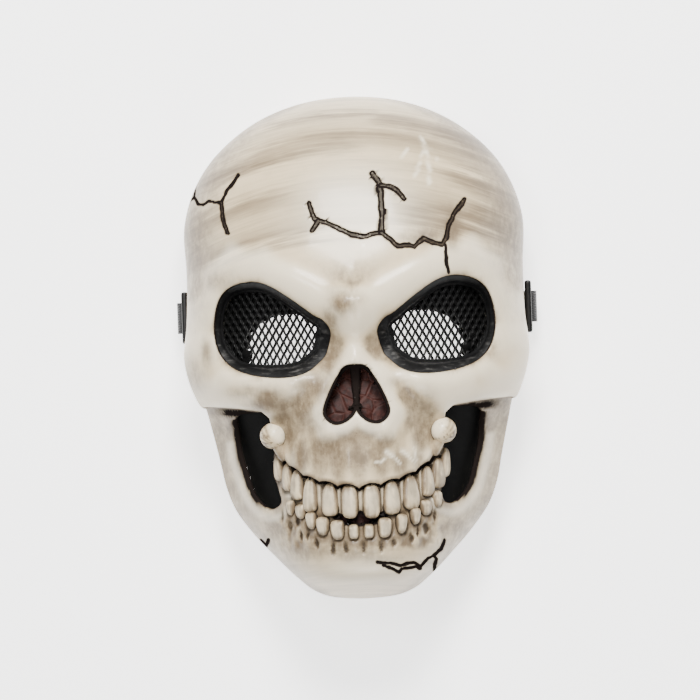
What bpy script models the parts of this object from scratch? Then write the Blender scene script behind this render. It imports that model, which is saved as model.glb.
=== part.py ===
# Skull mask: a full-face mask of thin moulded plastic that lies face up on its rear rim.
# X runs to the viewer's right, Y towards the crown and Z out of the face. Lengths are in metres.
# Outlines and tables hold shares of the named sizes below, for the right half of the face.
from collections import namedtuple
import math

import bmesh
import bpy
import numpy as np
from mathutils import Matrix, Vector

# Driving sizes of the mask
HALF_WIDTH = 0.0888
HALF_HEIGHT = 0.1295
DEPTH = 0.112
WALL = 0.0022
GAP = 0.0003
RIM_TUCK = 0.002

# Eye frames, meshes and pads
FRAME_THICK = 0.0024
FRAME_DEPTH = 0.011
FRAME_LAP = 0.002
MESH_THICK = 0.001
MESH_LAP = 0.0015
MESH_PITCH_ACROSS = 0.0062
MESH_PITCH_UP = 0.0104
MESH_STRAND = 0.0015
MESH_START = 0.003
PAD_THICK = 0.006

# Backings of the cheeks, nose and mouth
PANEL_THICK = 0.0015
PANEL_LAP = 0.004
LINER_THICK = 0.0012

# Teeth and the ball-ended struts beside them
TOOTH_RISE = 0.0032
TOOTH_FILL = 1.05
TOOTH_SQUARENESS = 0.8
KNOB_RADIUS = 0.0064
KNOB_LIFT = 0.4
KNOB_FLATNESS = 0.93
STALK_RADIUS = 0.0034
STALK_LIFT = 0.2
STALK_TOP = 1.15
STALK_FOOT = 0.8

# Strap and its two sliders
STRAP_WIDTH = 0.016
STRAP_THICK = 0.0015
STRAP_BOW = 0.038
STRAP_TAIL = 0.022
STRAP_FALL = 0.011
SLIDER_LENGTH = 0.027
SLIDER_REACH = 0.020
SLIDER_THICK = 0.0034
SLIDER_BAR = 0.0030
SLIDER_UP = 0.018
SLIDER_BACK = 0.0167
SLOT_HEIGHT = 0.0042

# Fineness of the moulded surface and of the outlines
ROWS = 32
COLUMNS = 22
COLUMN_CROWDING = 0.86
WALL_RINGS = 2
OUTLINE_STEPS = 2
TOOTH_SIDES = 8
TOOTH_RINGS = 4
KNOB_SIDES = 10
KNOB_RINGS = 7
STRAP_STEPS = 24

# Places that follow from the sizes: each layer lies one gap under the one before it
JAW_DROP = WALL + GAP
FRAME_DROP = WALL + GAP
MESH_DROP = FRAME_DROP + FRAME_THICK + 2 * GAP
PAD_DROP = MESH_DROP + MESH_THICK + 2 * GAP
BACKING_DROP = JAW_DROP + WALL + GAP
CUT_DEPTH = 0.003
CUT_TOP = 1.3 * DEPTH
CHIN_REACH = HALF_HEIGHT + JAW_DROP
BEYOND = (1.2 * HALF_WIDTH, 1.2 * HALF_HEIGHT)
STEEPEST = 0.5

Section = namedtuple("Section", "up width crest edge power shoulder")
SECTIONS = [
    Section(-1.000, 0.000, 0.40, 0.40, 2.4, 0.50),
    Section(-0.989, 0.200, 0.50, 0.40, 2.4, 0.50),
    Section(-0.964, 0.298, 0.64, 0.40, 2.4, 0.50),
    Section(-0.917, 0.390, 0.80, 0.39, 2.4, 0.52),
    Section(-0.824, 0.532, 0.862, 0.37, 2.3, 0.60),
    Section(-0.730, 0.660, 0.89, 0.35, 2.1, 0.75),
    Section(-0.636, 0.761, 0.915, 0.33, 1.9, 0.90),
    Section(-0.542, 0.815, 0.925, 0.32, 1.75, 1.00),
    Section(-0.449, 0.844, 0.92, 0.32, 1.75, 1.00),
    Section(-0.308, 0.891, 0.91, 0.34, 1.9, 0.95),
    Section(-0.212, 0.925, 0.895, 0.40, 2.1, 0.80),
    Section(-0.120, 0.974, 0.87, 0.45, 2.2, 0.70),
    Section(-0.030, 1.000, 0.85, 0.44, 2.3, 0.65),
    Section(0.100, 0.982, 0.865, 0.40, 2.4, 0.60),
    Section(0.309, 0.978, 0.91, 0.32, 2.6, 0.55),
    Section(0.498, 0.985, 0.875, 0.29, 2.6, 0.50),
    Section(0.687, 0.890, 0.80, 0.28, 2.5, 0.50),
    Section(0.880, 0.617, 0.645, 0.27, 2.4, 0.50),
    Section(0.973, 0.315, 0.44, 0.26, 2.4, 0.50),
    Section(1.000, 0.000, 0.255, 0.255, 2.4, 0.50),
]

# Raised forms: a line of points, the reach of its slope and its height, as shares
Ridge = namedtuple("Ridge", "name reach height line")
SKULL_RIDGES = [
    Ridge("brow", 0.115, 0.060,
          [(0.10, 0.15), (0.23, 0.21), (0.37, 0.275), (0.52, 0.325), (0.66, 0.33), (0.79, 0.28),
           (0.87, 0.17)]),
    Ridge("glabella", 0.150, 0.034, [(-0.05, 0.21), (0.05, 0.21)]),
    Ridge("nose_bridge", 0.075, 0.065, [(0.0, 0.17), (0.0, 0.05), (0.0, -0.05)]),
    Ridge("cheekbone", 0.120, 0.055,
          [(0.96, 0.00), (0.88, -0.12), (0.72, -0.185), (0.54, -0.19), (0.38, -0.15)]),
    Ridge("orbit_rim", 0.070, 0.022,
          [(0.83, 0.02), (0.75, -0.08), (0.58, -0.13), (0.36, -0.14), (0.18, -0.09)]),
    Ridge("nose_lip", 0.050, 0.030,
          [(0.0, -0.045), (0.11, -0.095), (0.18, -0.18), (0.22, -0.25), (0.16, -0.325), (0.06, -0.30),
           (0.0, -0.27)]),
    Ridge("maxilla", 0.200, 0.026, [(-0.30, -0.42), (0.30, -0.42)]),
]
JAW_RIDGES = [
    Ridge("chin", 0.130, 0.022, [(-0.20, -0.88), (0.20, -0.88)]),
    Ridge("jaw_corner", 0.060, 0.025, [(0.73, -0.45), (0.67, -0.58), (0.57, -0.655), (0.46, -0.65)]),
]

# Eye opening, with the width of the dark band that the frame shows inside it
Eye = namedtuple("Eye", "across up band")
EYE = [
    Eye(0.142, 0.062, 0.082), Eye(0.180, 0.104, 0.055), Eye(0.236, 0.127, 0.042),
    Eye(0.366, 0.195, 0.040), Eye(0.484, 0.247, 0.044), Eye(0.586, 0.264, 0.050),
    Eye(0.704, 0.246, 0.048), Eye(0.777, 0.193, 0.046), Eye(0.806, 0.085, 0.046),
    Eye(0.768, -0.015, 0.052), Eye(0.659, -0.077, 0.052), Eye(0.462, -0.105, 0.068),
    Eye(0.298, -0.093, 0.074), Eye(0.191, -0.039, 0.076), Eye(0.160, 0.000, 0.078),
]
NOSE = [
    (0.027, -0.089), (0.058, -0.083), (0.101, -0.116), (0.146, -0.170), (0.186, -0.232), (0.186, -0.270),
    (0.135, -0.300), (0.079, -0.293), (0.034, -0.263), (0.018, -0.225), (0.018, -0.160),
]
MOUTH = [(0.0, -0.660), (0.068, -0.676), (0.152, -0.656), (0.090, -0.692), (0.0, -0.697)]
CHEEK = [
    (0.510, -0.255), (0.600, -0.252), (0.698, -0.262), (0.700, -0.320), (0.690, -0.400), (0.659, -0.480),
    (0.625, -0.556), (0.569, -0.606), (0.518, -0.624), (0.467, -0.602), (0.479, -0.556), (0.499, -0.498),
    (0.501, -0.432), (0.495, -0.400), (0.495, -0.320),
]
LINER = [
    (0.00, -0.046), (0.14, -0.058), (0.215, -0.110), (0.237, -0.26), (0.25, -0.46),
    (0.23, -0.70), (0.14, -0.745), (0.0, -0.752),
]
PAD = [
    (0.0, 0.10), (0.20, 0.093), (0.34, 0.124), (0.47, 0.124), (0.585, 0.100), (0.653, 0.058), (0.681, 0.0),
    (0.687, -0.062), (0.785, -0.062), (0.830, 0.046), (0.822, 0.170), (0.720, 0.278), (0.507, 0.332),
    (0.225, 0.326), (0.0, 0.326),
]

# Where the upper moulding ends over the jaw, from the middle of the gum out to the temple
GUM_CUSPS = [
    (0.0, -0.561), (0.065, -0.541), (0.124, -0.550), (0.175, -0.531), (0.231, -0.533), (0.282, -0.512),
    (0.327, -0.508), (0.366, -0.477), (0.417, -0.463), (0.462, -0.417), (0.495, -0.386),
]
CHEEK_EDGE = [
    (0.501, -0.340), (0.518, -0.278), (0.563, -0.259), (0.676, -0.247), (0.788, -0.239), (1.2, -0.218),
]
JAW_TOP = [
    (0.0, -0.510), (0.225, -0.486), (0.338, -0.455), (0.428, -0.386), (0.462, -0.324), (0.473, -0.262),
    (0.563, -0.228), (0.676, -0.216), (0.901, -0.197), (1.2, -0.185),
]

# Teeth of the right half, upper row first: middle, half width and half height
Tooth = namedtuple("Tooth", "across up half_width half_height")
TEETH = [
    Tooth(0.058, -0.610, 0.052, 0.068), Tooth(0.169, -0.598, 0.048, 0.068),
    Tooth(0.275, -0.580, 0.044, 0.070), Tooth(0.360, -0.538, 0.034, 0.062),
    Tooth(0.431, -0.512, 0.030, 0.064), Tooth(0.486, -0.470, 0.020, 0.056),
    Tooth(0.045, -0.722, 0.030, 0.029), Tooth(0.132, -0.712, 0.036, 0.040),
    Tooth(0.222, -0.706, 0.034, 0.038), Tooth(0.305, -0.678, 0.032, 0.034),
    Tooth(0.380, -0.648, 0.030, 0.036),
]
KNOB_PLACE = (0.518, -0.336)
STALK_END = (0.455, -0.392)


def interpolate(where, knots, values):
    """Read a smooth curve through the values at the knots."""
    knots = np.asarray(knots, float)
    values = np.asarray(values, float)
    slopes = np.gradient(values, knots)
    index = np.clip(np.searchsorted(knots, where, side="right") - 1, 0, len(knots) - 2)
    span = knots[index + 1] - knots[index]
    t = (where - knots[index]) / span
    first = (1 + 2 * t) * (1 - t) ** 2 * values[index] + t * (1 - t) ** 2 * span * slopes[index]
    second = t * t * (3 - 2 * t) * values[index + 1] + t * t * (t - 1) * span * slopes[index + 1]
    return first + second


LATITUDES = [math.asin(row.up) for row in SECTIONS]


def section(latitude):
    """Half width, crest height, edge height and the two powers of the section at a latitude."""
    columns = zip(*[(r.width, r.crest, r.edge, r.power, r.shoulder) for r in SECTIONS])
    width, crest, edge, power, shoulder = [interpolate(latitude, LATITUDES, c) for c in columns]
    return np.maximum(width, 0) * HALF_WIDTH, crest * DEPTH, edge * DEPTH, power, shoulder


def arch(share, crest, edge, power, shoulder):
    """Height of a section at a share of its half width."""
    return edge + (crest - edge) * (1 - share ** power) ** shoulder


def height(x, y):
    """Height of the smooth base form over the rim plane."""
    reach = np.where(y < 0, CHIN_REACH, HALF_HEIGHT)
    width, *rest = section(np.arcsin(np.clip(y / reach, -1, 1)))
    return arch(np.clip(np.abs(x) / np.maximum(width, 1e-6), 0, 1), *rest)


def distance_to_line(x, y, line):
    """Distance from each point to a line of points in the plane."""
    best = np.full(np.shape(x), np.inf)
    for (ax, ay), (bx, by) in zip(line, line[1:]):
        along = (x - ax) * (bx - ax) + (y - ay) * (by - ay)
        t = np.clip(along / ((bx - ax) ** 2 + (by - ay) ** 2), 0, 1)
        best = np.minimum(best, np.hypot(x - ax - t * (bx - ax), y - ay - t * (by - ay)))
    return best


def place(points):
    """Turn shares of the half width and half height into metres."""
    return [(across * HALF_WIDTH, up * HALF_HEIGHT) for across, up in points]


def relief(x, y, ridges):
    """Height that the raised forms add to the base form; it is never negative."""
    total = np.zeros(np.shape(x))
    for ridge in ridges:
        near = distance_to_line(np.abs(x), y, place(ridge.line)) / (ridge.reach * HALF_HEIGHT)
        total += ridge.height * DEPTH * np.exp(-near ** 2)
    return total


def surface_points():
    """Rows from chin to crown; each runs up one side wall, over the face and down the other."""
    latitudes = np.linspace(-math.pi / 2, math.pi / 2, ROWS + 1)
    turn = COLUMN_CROWDING * np.linspace(-math.pi / 2, math.pi / 2, COLUMNS + 1)
    across = np.sin(turn) / np.sin(turn[-1])
    width, crest, edge, power, shoulder = [v[:, None] for v in section(latitudes)]
    z = arch(np.abs(across)[None, :], crest, edge, power, shoulder)
    reach = np.where(latitudes < 0, CHIN_REACH, HALF_HEIGHT)
    y = np.repeat((reach * np.sin(latitudes))[:, None], COLUMNS + 1, 1)
    face = np.stack([width * across[None, :], y, z], -1)
    walls = []
    for ring in range(1, WALL_RINGS + 1):
        fall = ring / (WALL_RINGS - 1)
        tuck = 1 - RIM_TUCK / HALF_WIDTH * min(fall, 1) ** 2
        low = edge * (1 - fall) if ring < WALL_RINGS else edge * 0 - CUT_DEPTH
        ends = face[:, [0, -1]] * np.array([tuck, tuck, 0]) + np.stack([0 * low, 0 * low, low], -1)
        walls.append(ends)
    left = [wall[:, :1] for wall in reversed(walls)]
    right = [wall[:, 1:] for wall in walls]
    return np.concatenate(left + [face] + right, 1)


def surface_mesh(points, rows=None, columns=None):
    """Triangles over the grid of points, or over a part of its rows and columns."""
    rows = rows or (0, points.shape[0] - 1)
    columns = columns or (0, points.shape[1] - 1)
    mesh = bmesh.new()
    grid = {}
    for i in range(rows[0], rows[1] + 1):
        for j in range(columns[0], columns[1] + 1):
            grid[i, j] = mesh.verts.new(points[i, j])
    for i in range(rows[0], rows[1]):
        for j in range(columns[0], columns[1]):
            corners = [grid[i, j], grid[i, j + 1], grid[i + 1, j + 1], grid[i + 1, j]]
            mesh.faces.new([corners[0], corners[1], corners[2]])
            mesh.faces.new([corners[0], corners[2], corners[3]])
    bmesh.ops.remove_doubles(mesh, verts=mesh.verts, dist=1e-7)
    return mesh


def surface_normals(points):
    """Outward direction at each point of the grid."""
    mesh = surface_mesh(points)
    mesh.normal_update()
    mesh.verts.ensure_lookup_table()
    found = {tuple(np.round(np.array(v.co), 6)): tuple(v.normal) for v in mesh.verts}
    mesh.free()
    flat = points.reshape(-1, 3).astype(np.float32)
    normals = [found[tuple(np.round(p.astype(float), 6))] for p in flat]
    return np.array(normals).reshape(points.shape)


def new_object(name, mesh, collection):
    """Put a finished bmesh into a named object."""
    data = bpy.data.meshes.new(name)
    mesh.to_mesh(data)
    mesh.free()
    data.shade_smooth()
    data.set_sharp_from_angle(angle=math.radians(35))
    made = bpy.data.objects.new(name, data)
    collection.objects.link(made)
    return made


def moulding(name, points, thickness, rows=None, columns=None, collection=None):
    """A wall of one thickness under the given surface points."""
    made = new_object(name, surface_mesh(points, rows, columns), collection or mask)
    solid = made.modifiers.new("Wall", "SOLIDIFY")
    solid.thickness = thickness
    solid.offset = -1
    solid.use_even_offset = False
    return made


def smooth_loop(points, steps=OUTLINE_STEPS):
    """A closed rounded outline through the points."""
    p = np.asarray(points, float)
    loop = []
    for i in range(len(p)):
        a, b, c, d = p[i - 1], p[i], p[(i + 1) % len(p)], p[(i + 2) % len(p)]
        for t in np.arange(steps) / steps:
            loop.append(0.5 * (2 * b + (c - a) * t + (2 * a - 5 * b + 4 * c - d) * t ** 2
                               + (3 * b - a - 3 * c + d) * t ** 3))
    return np.array(loop)


def grow(loop, amount):
    """Move each point of a closed outline outwards by an amount, or inwards if it is negative."""
    loop = np.asarray(loop, float)
    along = np.roll(loop, -1, 0) - np.roll(loop, 1, 0)
    along /= np.linalg.norm(along, axis=1)[:, None]
    turn = np.sum(loop[:, 0] * np.roll(loop[:, 1], -1) - np.roll(loop[:, 0], -1) * loop[:, 1])
    outward = np.stack([along[:, 1], -along[:, 0]], 1) * np.sign(turn)
    return loop + outward * np.reshape(amount, (-1, 1))


def mirrored(half):
    """Both halves of an outline given from the middle outwards and back."""
    other = [(-x, y) for x, y in reversed(half) if x > 1e-9]
    return list(half) + other


def plate(name, loops, low, high, collection):
    """A flat plate with the outlines as its edge and holes, between two heights."""
    curve = bpy.data.curves.new(name, "CURVE")
    curve.dimensions = "2D"
    curve.fill_mode = "BOTH"
    curve.extrude = (high - low) / 2
    for loop in loops:
        spline = curve.splines.new("POLY")
        spline.points.add(len(loop) - 1)
        spline.use_cyclic_u = True
        for point, (x, y) in zip(spline.points, loop):
            point.co = (x, y, 0, 1)
    flat = bpy.data.objects.new(name + "_curve", curve)
    flat.location.z = (high + low) / 2
    collection.objects.link(flat)
    bpy.context.view_layer.update()
    ready = flat.evaluated_get(bpy.context.evaluated_depsgraph_get())
    data = bpy.data.meshes.new_from_object(ready)
    data.transform(flat.matrix_world)
    bpy.data.objects.remove(flat)
    mesh = bmesh.new()
    mesh.from_mesh(data)
    bpy.data.meshes.remove(data)
    bmesh.ops.remove_doubles(mesh, verts=mesh.verts, dist=1e-7)
    bmesh.ops.recalc_face_normals(mesh, faces=mesh.faces)
    return new_object(name, mesh, collection)


def as_cutter(made):
    """Show a guide as wire and leave it out of renders."""
    made.hide_render = True
    made.display_type = "WIRE"
    return made


def prism(name, loops):
    """A cutter through the whole depth of the mask along each outline."""
    whole = bmesh.new()
    for number, loop in enumerate(loops):
        made = plate(f"{name}_{number}", [loop], -2 * CUT_DEPTH, CUT_TOP, cutters)
        whole.from_mesh(made.data)
        bpy.data.objects.remove(made)
    return as_cutter(new_object(name, whole, cutters))


def block(mesh, low, high):
    """Add a box between two corners to a bmesh."""
    size = Vector(high) - Vector(low)
    middle = (Vector(high) + Vector(low)) / 2
    bmesh.ops.create_cube(mesh, size=1, matrix=Matrix.Translation(middle) @ Matrix.Diagonal((*size, 1)))


def cut(made, cutter, operation="DIFFERENCE", folded=False):
    """Cut, trim or join an object with another; a folded one may touch itself at a sharp turn."""
    step = made.modifiers.new(cutter.name, "BOOLEAN")
    step.operation = operation
    step.solver = "EXACT"
    step.object = cutter
    step.use_self = folded


def sided(loop, side):
    """The outline on the right side of the face, or its mirror image on the left."""
    return [(side * x, y) for x, y in loop]


def ball(mesh, middle, axes, sides, rings, squareness=1.0):
    """Add a rounded body with three half axes; a squareness under 1 fills out its corners."""
    made = bmesh.ops.create_uvsphere(mesh, u_segments=sides, v_segments=rings, radius=1)["verts"]
    for vert in made:
        unit = [math.copysign(abs(c) ** squareness, c) for c in vert.co]
        vert.co = middle + axes[0] * unit[0] - axes[2] * unit[1] + axes[1] * unit[2]


def surface_frame(x, y):
    """Point of the base form, with its directions across, up and out."""
    step = 1e-4
    z = float(height(x, y))
    across = Vector((step, 0, float(height(x + step, y)) - z)).normalized()
    up = Vector((0, step, float(height(x, y + step)) - z))
    up = (up - across * up.dot(across)).normalized()
    return Vector((x, y, z)), across, up, across.cross(up)


def knob(side, extra):
    """Ball and stalk beside the upper teeth, larger by an extra clearance."""
    x, y = place([KNOB_PLACE])[0]
    end_x, end_y = place([STALK_END])[0]
    centre, across, up, out = surface_frame(side * x, y)
    centre = centre + out * (KNOB_RADIUS * KNOB_LIFT)
    foot, _, _, foot_out = surface_frame(side * end_x, end_y)
    foot = foot + foot_out * (STALK_RADIUS * STALK_LIFT)
    mesh = bmesh.new()
    radius = KNOB_RADIUS + extra
    axes = [across * radius, up * radius, out * radius * KNOB_FLATNESS]
    ball(mesh, centre, axes, KNOB_SIDES, KNOB_RINGS)
    head = mask_object(f"knob_{'right' if side > 0 else 'left'}_{'seat' if extra else 'ball'}", mesh)
    mesh = bmesh.new()
    length = (foot - centre).length
    turn = (foot - centre).to_track_quat("Z", "Y").to_matrix().to_4x4()
    bmesh.ops.create_cone(mesh, cap_ends=True, segments=KNOB_SIDES - 2, depth=length,
                          radius1=STALK_RADIUS * STALK_TOP + extra, radius2=STALK_RADIUS * STALK_FOOT + extra,
                          matrix=Matrix.Translation((foot + centre) / 2) @ turn)
    stalk = mask_object(head.name + "_stalk", mesh)
    return [head, stalk]


def mask_object(name, mesh):
    """A guide solid that is joined to, or cut from, a piece of the mask."""
    return as_cutter(new_object(name, mesh, cutters))


def material(made, colour, roughness, metallic=0.0):
    """Give a piece its own plain material."""
    own = bpy.data.materials.new(made.name)
    own.use_nodes = True
    shader = own.node_tree.nodes["Principled BSDF"]
    shader.inputs["Base Color"].default_value = (*colour, 1)
    shader.inputs["Roughness"].default_value = roughness
    shader.inputs["Metallic"].default_value = metallic
    made.data.materials.append(own)


def row_range(low, high):
    """Grid rows that cover a stretch of the height, given as shares."""
    index = [(math.asin(max(-1, min(1, v))) / math.pi + 0.5) * ROWS for v in (low, high)]
    return max(0, math.floor(index[0]) - 1), min(ROWS, math.ceil(index[1]) + 1)


def column_range(low, high):
    """Grid columns that cover a stretch of the width, given as shares."""
    widest = COLUMN_CROWDING * math.pi / 2
    index = [(math.asin(v * math.sin(widest)) / widest / 2 + 0.5) * COLUMNS for v in (low, high)]
    low_column = max(0, math.floor(index[0]) - 1)
    high_column = min(COLUMNS, math.ceil(index[1]) + 1)
    return WALL_RINGS + low_column, WALL_RINGS + high_column


# Start from an empty scene
for old in list(bpy.data.objects):
    bpy.data.objects.remove(old)
mask = bpy.data.collections.new("skull_mask")
cutters = bpy.data.collections.new("cutters")
bpy.context.scene.collection.children.link(mask)
bpy.context.scene.collection.children.link(cutters)

BONE = (0.76, 0.71, 0.61)
BLACK = (0.015, 0.015, 0.016)
points = surface_points()
normals = surface_normals(points)


def layer(drop):
    """The base form moved inwards by a drop."""
    return points - normals * drop


def raised(form, ridges):
    """A form with its raised parts, which rise along Z from the base form's points."""
    lift = relief(points[..., 0], points[..., 1], ridges)
    return form + np.stack([0 * lift, 0 * lift, lift], -1)


# Ground plane that trims the rim flat
mesh = bmesh.new()
block(mesh, (-BEYOND[0], -BEYOND[1], -4 * CUT_DEPTH), (*BEYOND, 0))
ground = mask_object("ground", mesh)

eye_rim = smooth_loop([(e.across * HALF_WIDTH, e.up * HALF_HEIGHT) for e in EYE])
band = smooth_loop([(e.band * HALF_WIDTH, 0) for e in EYE])[:, 0]
eye_sight = grow(eye_rim, -band)
nose_loop = smooth_loop(place(NOSE))
cheek_loop = smooth_loop(place(CHEEK))

# Slots in the side walls that the strap passes through
strap_slots = bmesh.new()
wall_x = float(section(np.arcsin(SLIDER_UP / HALF_HEIGHT))[0])
slot_z = [SLIDER_BACK - SLIDER_BAR / 2 - SLOT_HEIGHT / 2, SLIDER_BACK + SLIDER_BAR / 2 + SLOT_HEIGHT / 2]
slot_half = STRAP_WIDTH / 2 + 3 * GAP
for side in (-1, 1):
    for z in slot_z:
        reach = sorted([side * (wall_x - 4 * WALL), side * (wall_x + 2 * WALL)])
        block(strap_slots, (reach[0], SLIDER_UP - slot_half, z - SLOT_HEIGHT / 2),
              (reach[1], SLIDER_UP + slot_half, z + SLOT_HEIGHT / 2))
strap_slots = mask_object("strap_slots", strap_slots)

# Upper moulding, down to the gum and the lower edge of the cheekbones
skull_form = raised(points, SKULL_RIDGES)
skull_normals = surface_normals(skull_form)
skull = moulding("skull_shell", skull_form, WALL)
lower_edge = mirrored(place(GUM_CUSPS + CHEEK_EDGE) + [(BEYOND[0], -BEYOND[1])])
skull_holes = [lower_edge]
for side in (-1, 1):
    skull_holes += [sided(eye_rim, side), sided(nose_loop, side)]
cut(skull, prism("skull_openings", skull_holes))
cut(skull, strap_slots)
for side in (-1, 1):
    for solid in knob(side, 0):
        cut(skull, solid, "UNION")
cut(skull, ground)
material(skull, BONE, 0.35)

# Jaw moulding, which laps behind the upper one and carries both rows of teeth
jaw = moulding("jaw_shell", raised(layer(JAW_DROP), JAW_RIDGES), WALL, row_range(-1, -0.15))
top_edge = mirrored(place(JAW_TOP) + [BEYOND])
cut(jaw, prism("jaw_top", [top_edge]), folded=True)
cut(jaw, prism("jaw_openings", [mirrored(place(MOUTH)), sided(cheek_loop, -1), sided(cheek_loop, 1)]))

teeth = bmesh.new()
for side in (-1, 1):
    for tooth in TEETH:
        x, y = place([(tooth.across, tooth.up)])[0]
        spot, across, up, out = surface_frame(side * x, y)
        half = tooth.half_width * HALF_WIDTH * TOOTH_FILL / max(across.x, STEEPEST)
        tall = tooth.half_height * HALF_HEIGHT / max(up.y, STEEPEST)
        ball(teeth, spot - out * (JAW_DROP / 2), [across * half, up * tall, out * TOOTH_RISE],
             TOOTH_SIDES, TOOTH_RINGS, TOOTH_SQUARENESS)
teeth = mask_object("teeth", teeth)
gum = [(x, y - 2 * GAP) for x, y in place(GUM_CUSPS + CHEEK_EDGE)] + [(BEYOND[0], 0)]
cut(teeth, prism("gum_edge", [mirrored(gum)]))
cut(jaw, teeth, "UNION")
for side in (-1, 1):
    for solid in knob(side, GAP * 1.5):
        cut(jaw, solid)
cut(jaw, ground)
material(jaw, BONE, 0.35)

# Eye frames behind the openings, each with a formed mesh behind it
for side, word in ((-1, "left"), (1, "right")):
    outer = grow(eye_rim, FRAME_LAP)
    columns = column_range(*sorted((side * 0.05, side * 0.92)))
    rows = row_range(-0.2, 0.35)
    frame_form = skull_form - skull_normals * FRAME_DROP
    frame = moulding(f"eye_frame_{word}", frame_form, FRAME_DEPTH, rows, columns)
    cut(frame, prism(f"frame_edge_{word}", [sided(outer, side)]), "INTERSECT")
    behind = layer(FRAME_DROP + FRAME_THICK)
    cut(frame, as_cutter(moulding(f"frame_back_{word}", behind, FRAME_DEPTH, rows, columns, cutters)))
    cut(frame, prism(f"frame_sight_{word}", [sided(eye_sight, side)]))
    material(frame, BLACK, 0.4)

    edge_loop = grow(eye_sight, MESH_LAP)[::2]
    holes = []
    inside = grow(eye_sight, -0.2 * MESH_STRAND)
    reach_across = (MESH_PITCH_ACROSS - MESH_STRAND) / 2
    reach_up = (MESH_PITCH_UP - 1.6 * MESH_STRAND) / 2
    rows_each_way = math.ceil(HALF_HEIGHT / MESH_PITCH_UP)
    for row in range(-rows_each_way, rows_each_way):
        for column in range(math.ceil(HALF_WIDTH / MESH_PITCH_ACROSS)):
            x = (column + 0.5 * (row % 2)) * MESH_PITCH_ACROSS
            y = row * MESH_PITCH_UP / 2 + MESH_START
            corners = [(x - reach_across, y), (x, y - reach_up), (x + reach_across, y), (x, y + reach_up)]
            # A hole is cut where its corners lie inside the band of the frame
            wind = [sum(((ay > py) != (by > py)) and (px < (bx - ax) * (py - ay) / (by - ay) + ax)
                        for (ax, ay), (bx, by) in zip(inside, np.roll(inside, -1, 0))) % 2
                    for px, py in corners]
            if all(wind):
                holes.append(corners)
    loops = [sided(edge_loop, side)] + [sided(hole, side) for hole in holes]
    net = plate(f"eye_mesh_{word}", loops, -MESH_THICK / 2, MESH_THICK / 2, mask)
    for vert in net.data.vertices:
        spot, across, up, out = surface_frame(vert.co.x, vert.co.y)
        vert.co.z += spot.z - (MESH_DROP + MESH_THICK / 2) / max(out.z, STEEPEST)
    material(net, BLACK, 0.5, 0.6)

    # Dark panels behind the gaps of the cheeks
    panel_rows = row_range(-0.70, -0.18)
    panel_columns = column_range(*sorted((side * 0.44, side * 0.96)))
    panel = moulding(f"cheek_panel_{word}", layer(BACKING_DROP), PANEL_THICK, panel_rows, panel_columns)
    cut(panel, prism(f"panel_edge_{word}", [sided(grow(cheek_loop, PANEL_LAP), side)]), "INTERSECT")
    material(panel, BLACK, 0.7)

# Creased dark liner behind the nose and mouth
liner = moulding("nose_mouth_liner", layer(BACKING_DROP), LINER_THICK,
                 row_range(-0.78, -0.02), column_range(-0.35, 0.35))
cut(liner, prism("liner_edge", [mirrored(place(LINER))]), "INTERSECT")
material(liner, (0.06, 0.016, 0.012), 0.6)

# Foam pad over the eyes
pad = moulding("brow_pad", layer(PAD_DROP), PAD_THICK, row_range(-0.1, 0.4), column_range(-0.9, 0.9))
cut(pad, prism("pad_edge", [mirrored(place(PAD))]), "INTERSECT")
material(pad, BLACK, 0.95)

# Sliders on the temples, each a loop with a bar between two slots
slider_x = wall_x + GAP
for side, word in ((-1, "left"), (1, "right")):
    mesh = bmesh.new()
    reach = sorted([side * slider_x, side * (slider_x + SLIDER_THICK)])
    block(mesh, (reach[0], SLIDER_UP - SLIDER_LENGTH / 2, SLIDER_BACK - SLIDER_REACH / 2),
          (reach[1], SLIDER_UP + SLIDER_LENGTH / 2, SLIDER_BACK + SLIDER_REACH / 2))
    slider = new_object(f"strap_slider_{word}", mesh, mask)
    bevel = slider.modifiers.new("Rounded edges", "BEVEL")
    bevel.width = 0.35 * SLIDER_THICK
    bevel.segments = 2
    cut(slider, strap_slots)
    material(slider, BLACK, 0.45)

# Strap: out of the lower slot, round the bar, in by the upper slot and up the inner wall
bar_x = slider_x + SLIDER_THICK
inner_x = wall_x - WALL - RIM_TUCK / 2 - STRAP_THICK
turn_radius = (slot_z[1] - slot_z[0]) / 2
side_path = [(inner_x, slot_z[1] + turn_radius / 2 + STRAP_TAIL), (inner_x, slot_z[1] + turn_radius / 2)]
side_path.append((inner_x + 0.3 * turn_radius, slot_z[1] + 0.1 * turn_radius))
side_path.append((inner_x + turn_radius * 0.8, slot_z[1]))
for step in range(7):
    angle = math.radians(90 - 30 * step)
    across = bar_x - 0.45 * turn_radius + 0.98 * turn_radius * math.cos(angle)
    side_path.append((across, SLIDER_BACK + turn_radius * math.sin(angle)))
side_path.append((inner_x, slot_z[0]))
side_path.append((inner_x - 0.36 * STRAP_FALL, slot_z[0] - 0.23 * STRAP_FALL))
side_path.append((inner_x - 0.64 * STRAP_FALL, slot_z[0] - 0.64 * STRAP_FALL))
side_path.append((inner_x - STRAP_FALL, STRAP_THICK))
floor_x = inner_x - 1.45 * STRAP_FALL
path = [(x, SLIDER_UP, z) for x, z in side_path]
for step in range(STRAP_STEPS + 1):
    x = floor_x * (1 - 2 * step / STRAP_STEPS)
    bow = STRAP_BOW * (1 + math.cos(math.pi * x / floor_x)) / 2
    path.append((x, SLIDER_UP + bow, STRAP_THICK / 2))
path += [(-x, SLIDER_UP, z) for x, z in reversed(side_path)]
ribbon = bmesh.new()
edges = []
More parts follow.
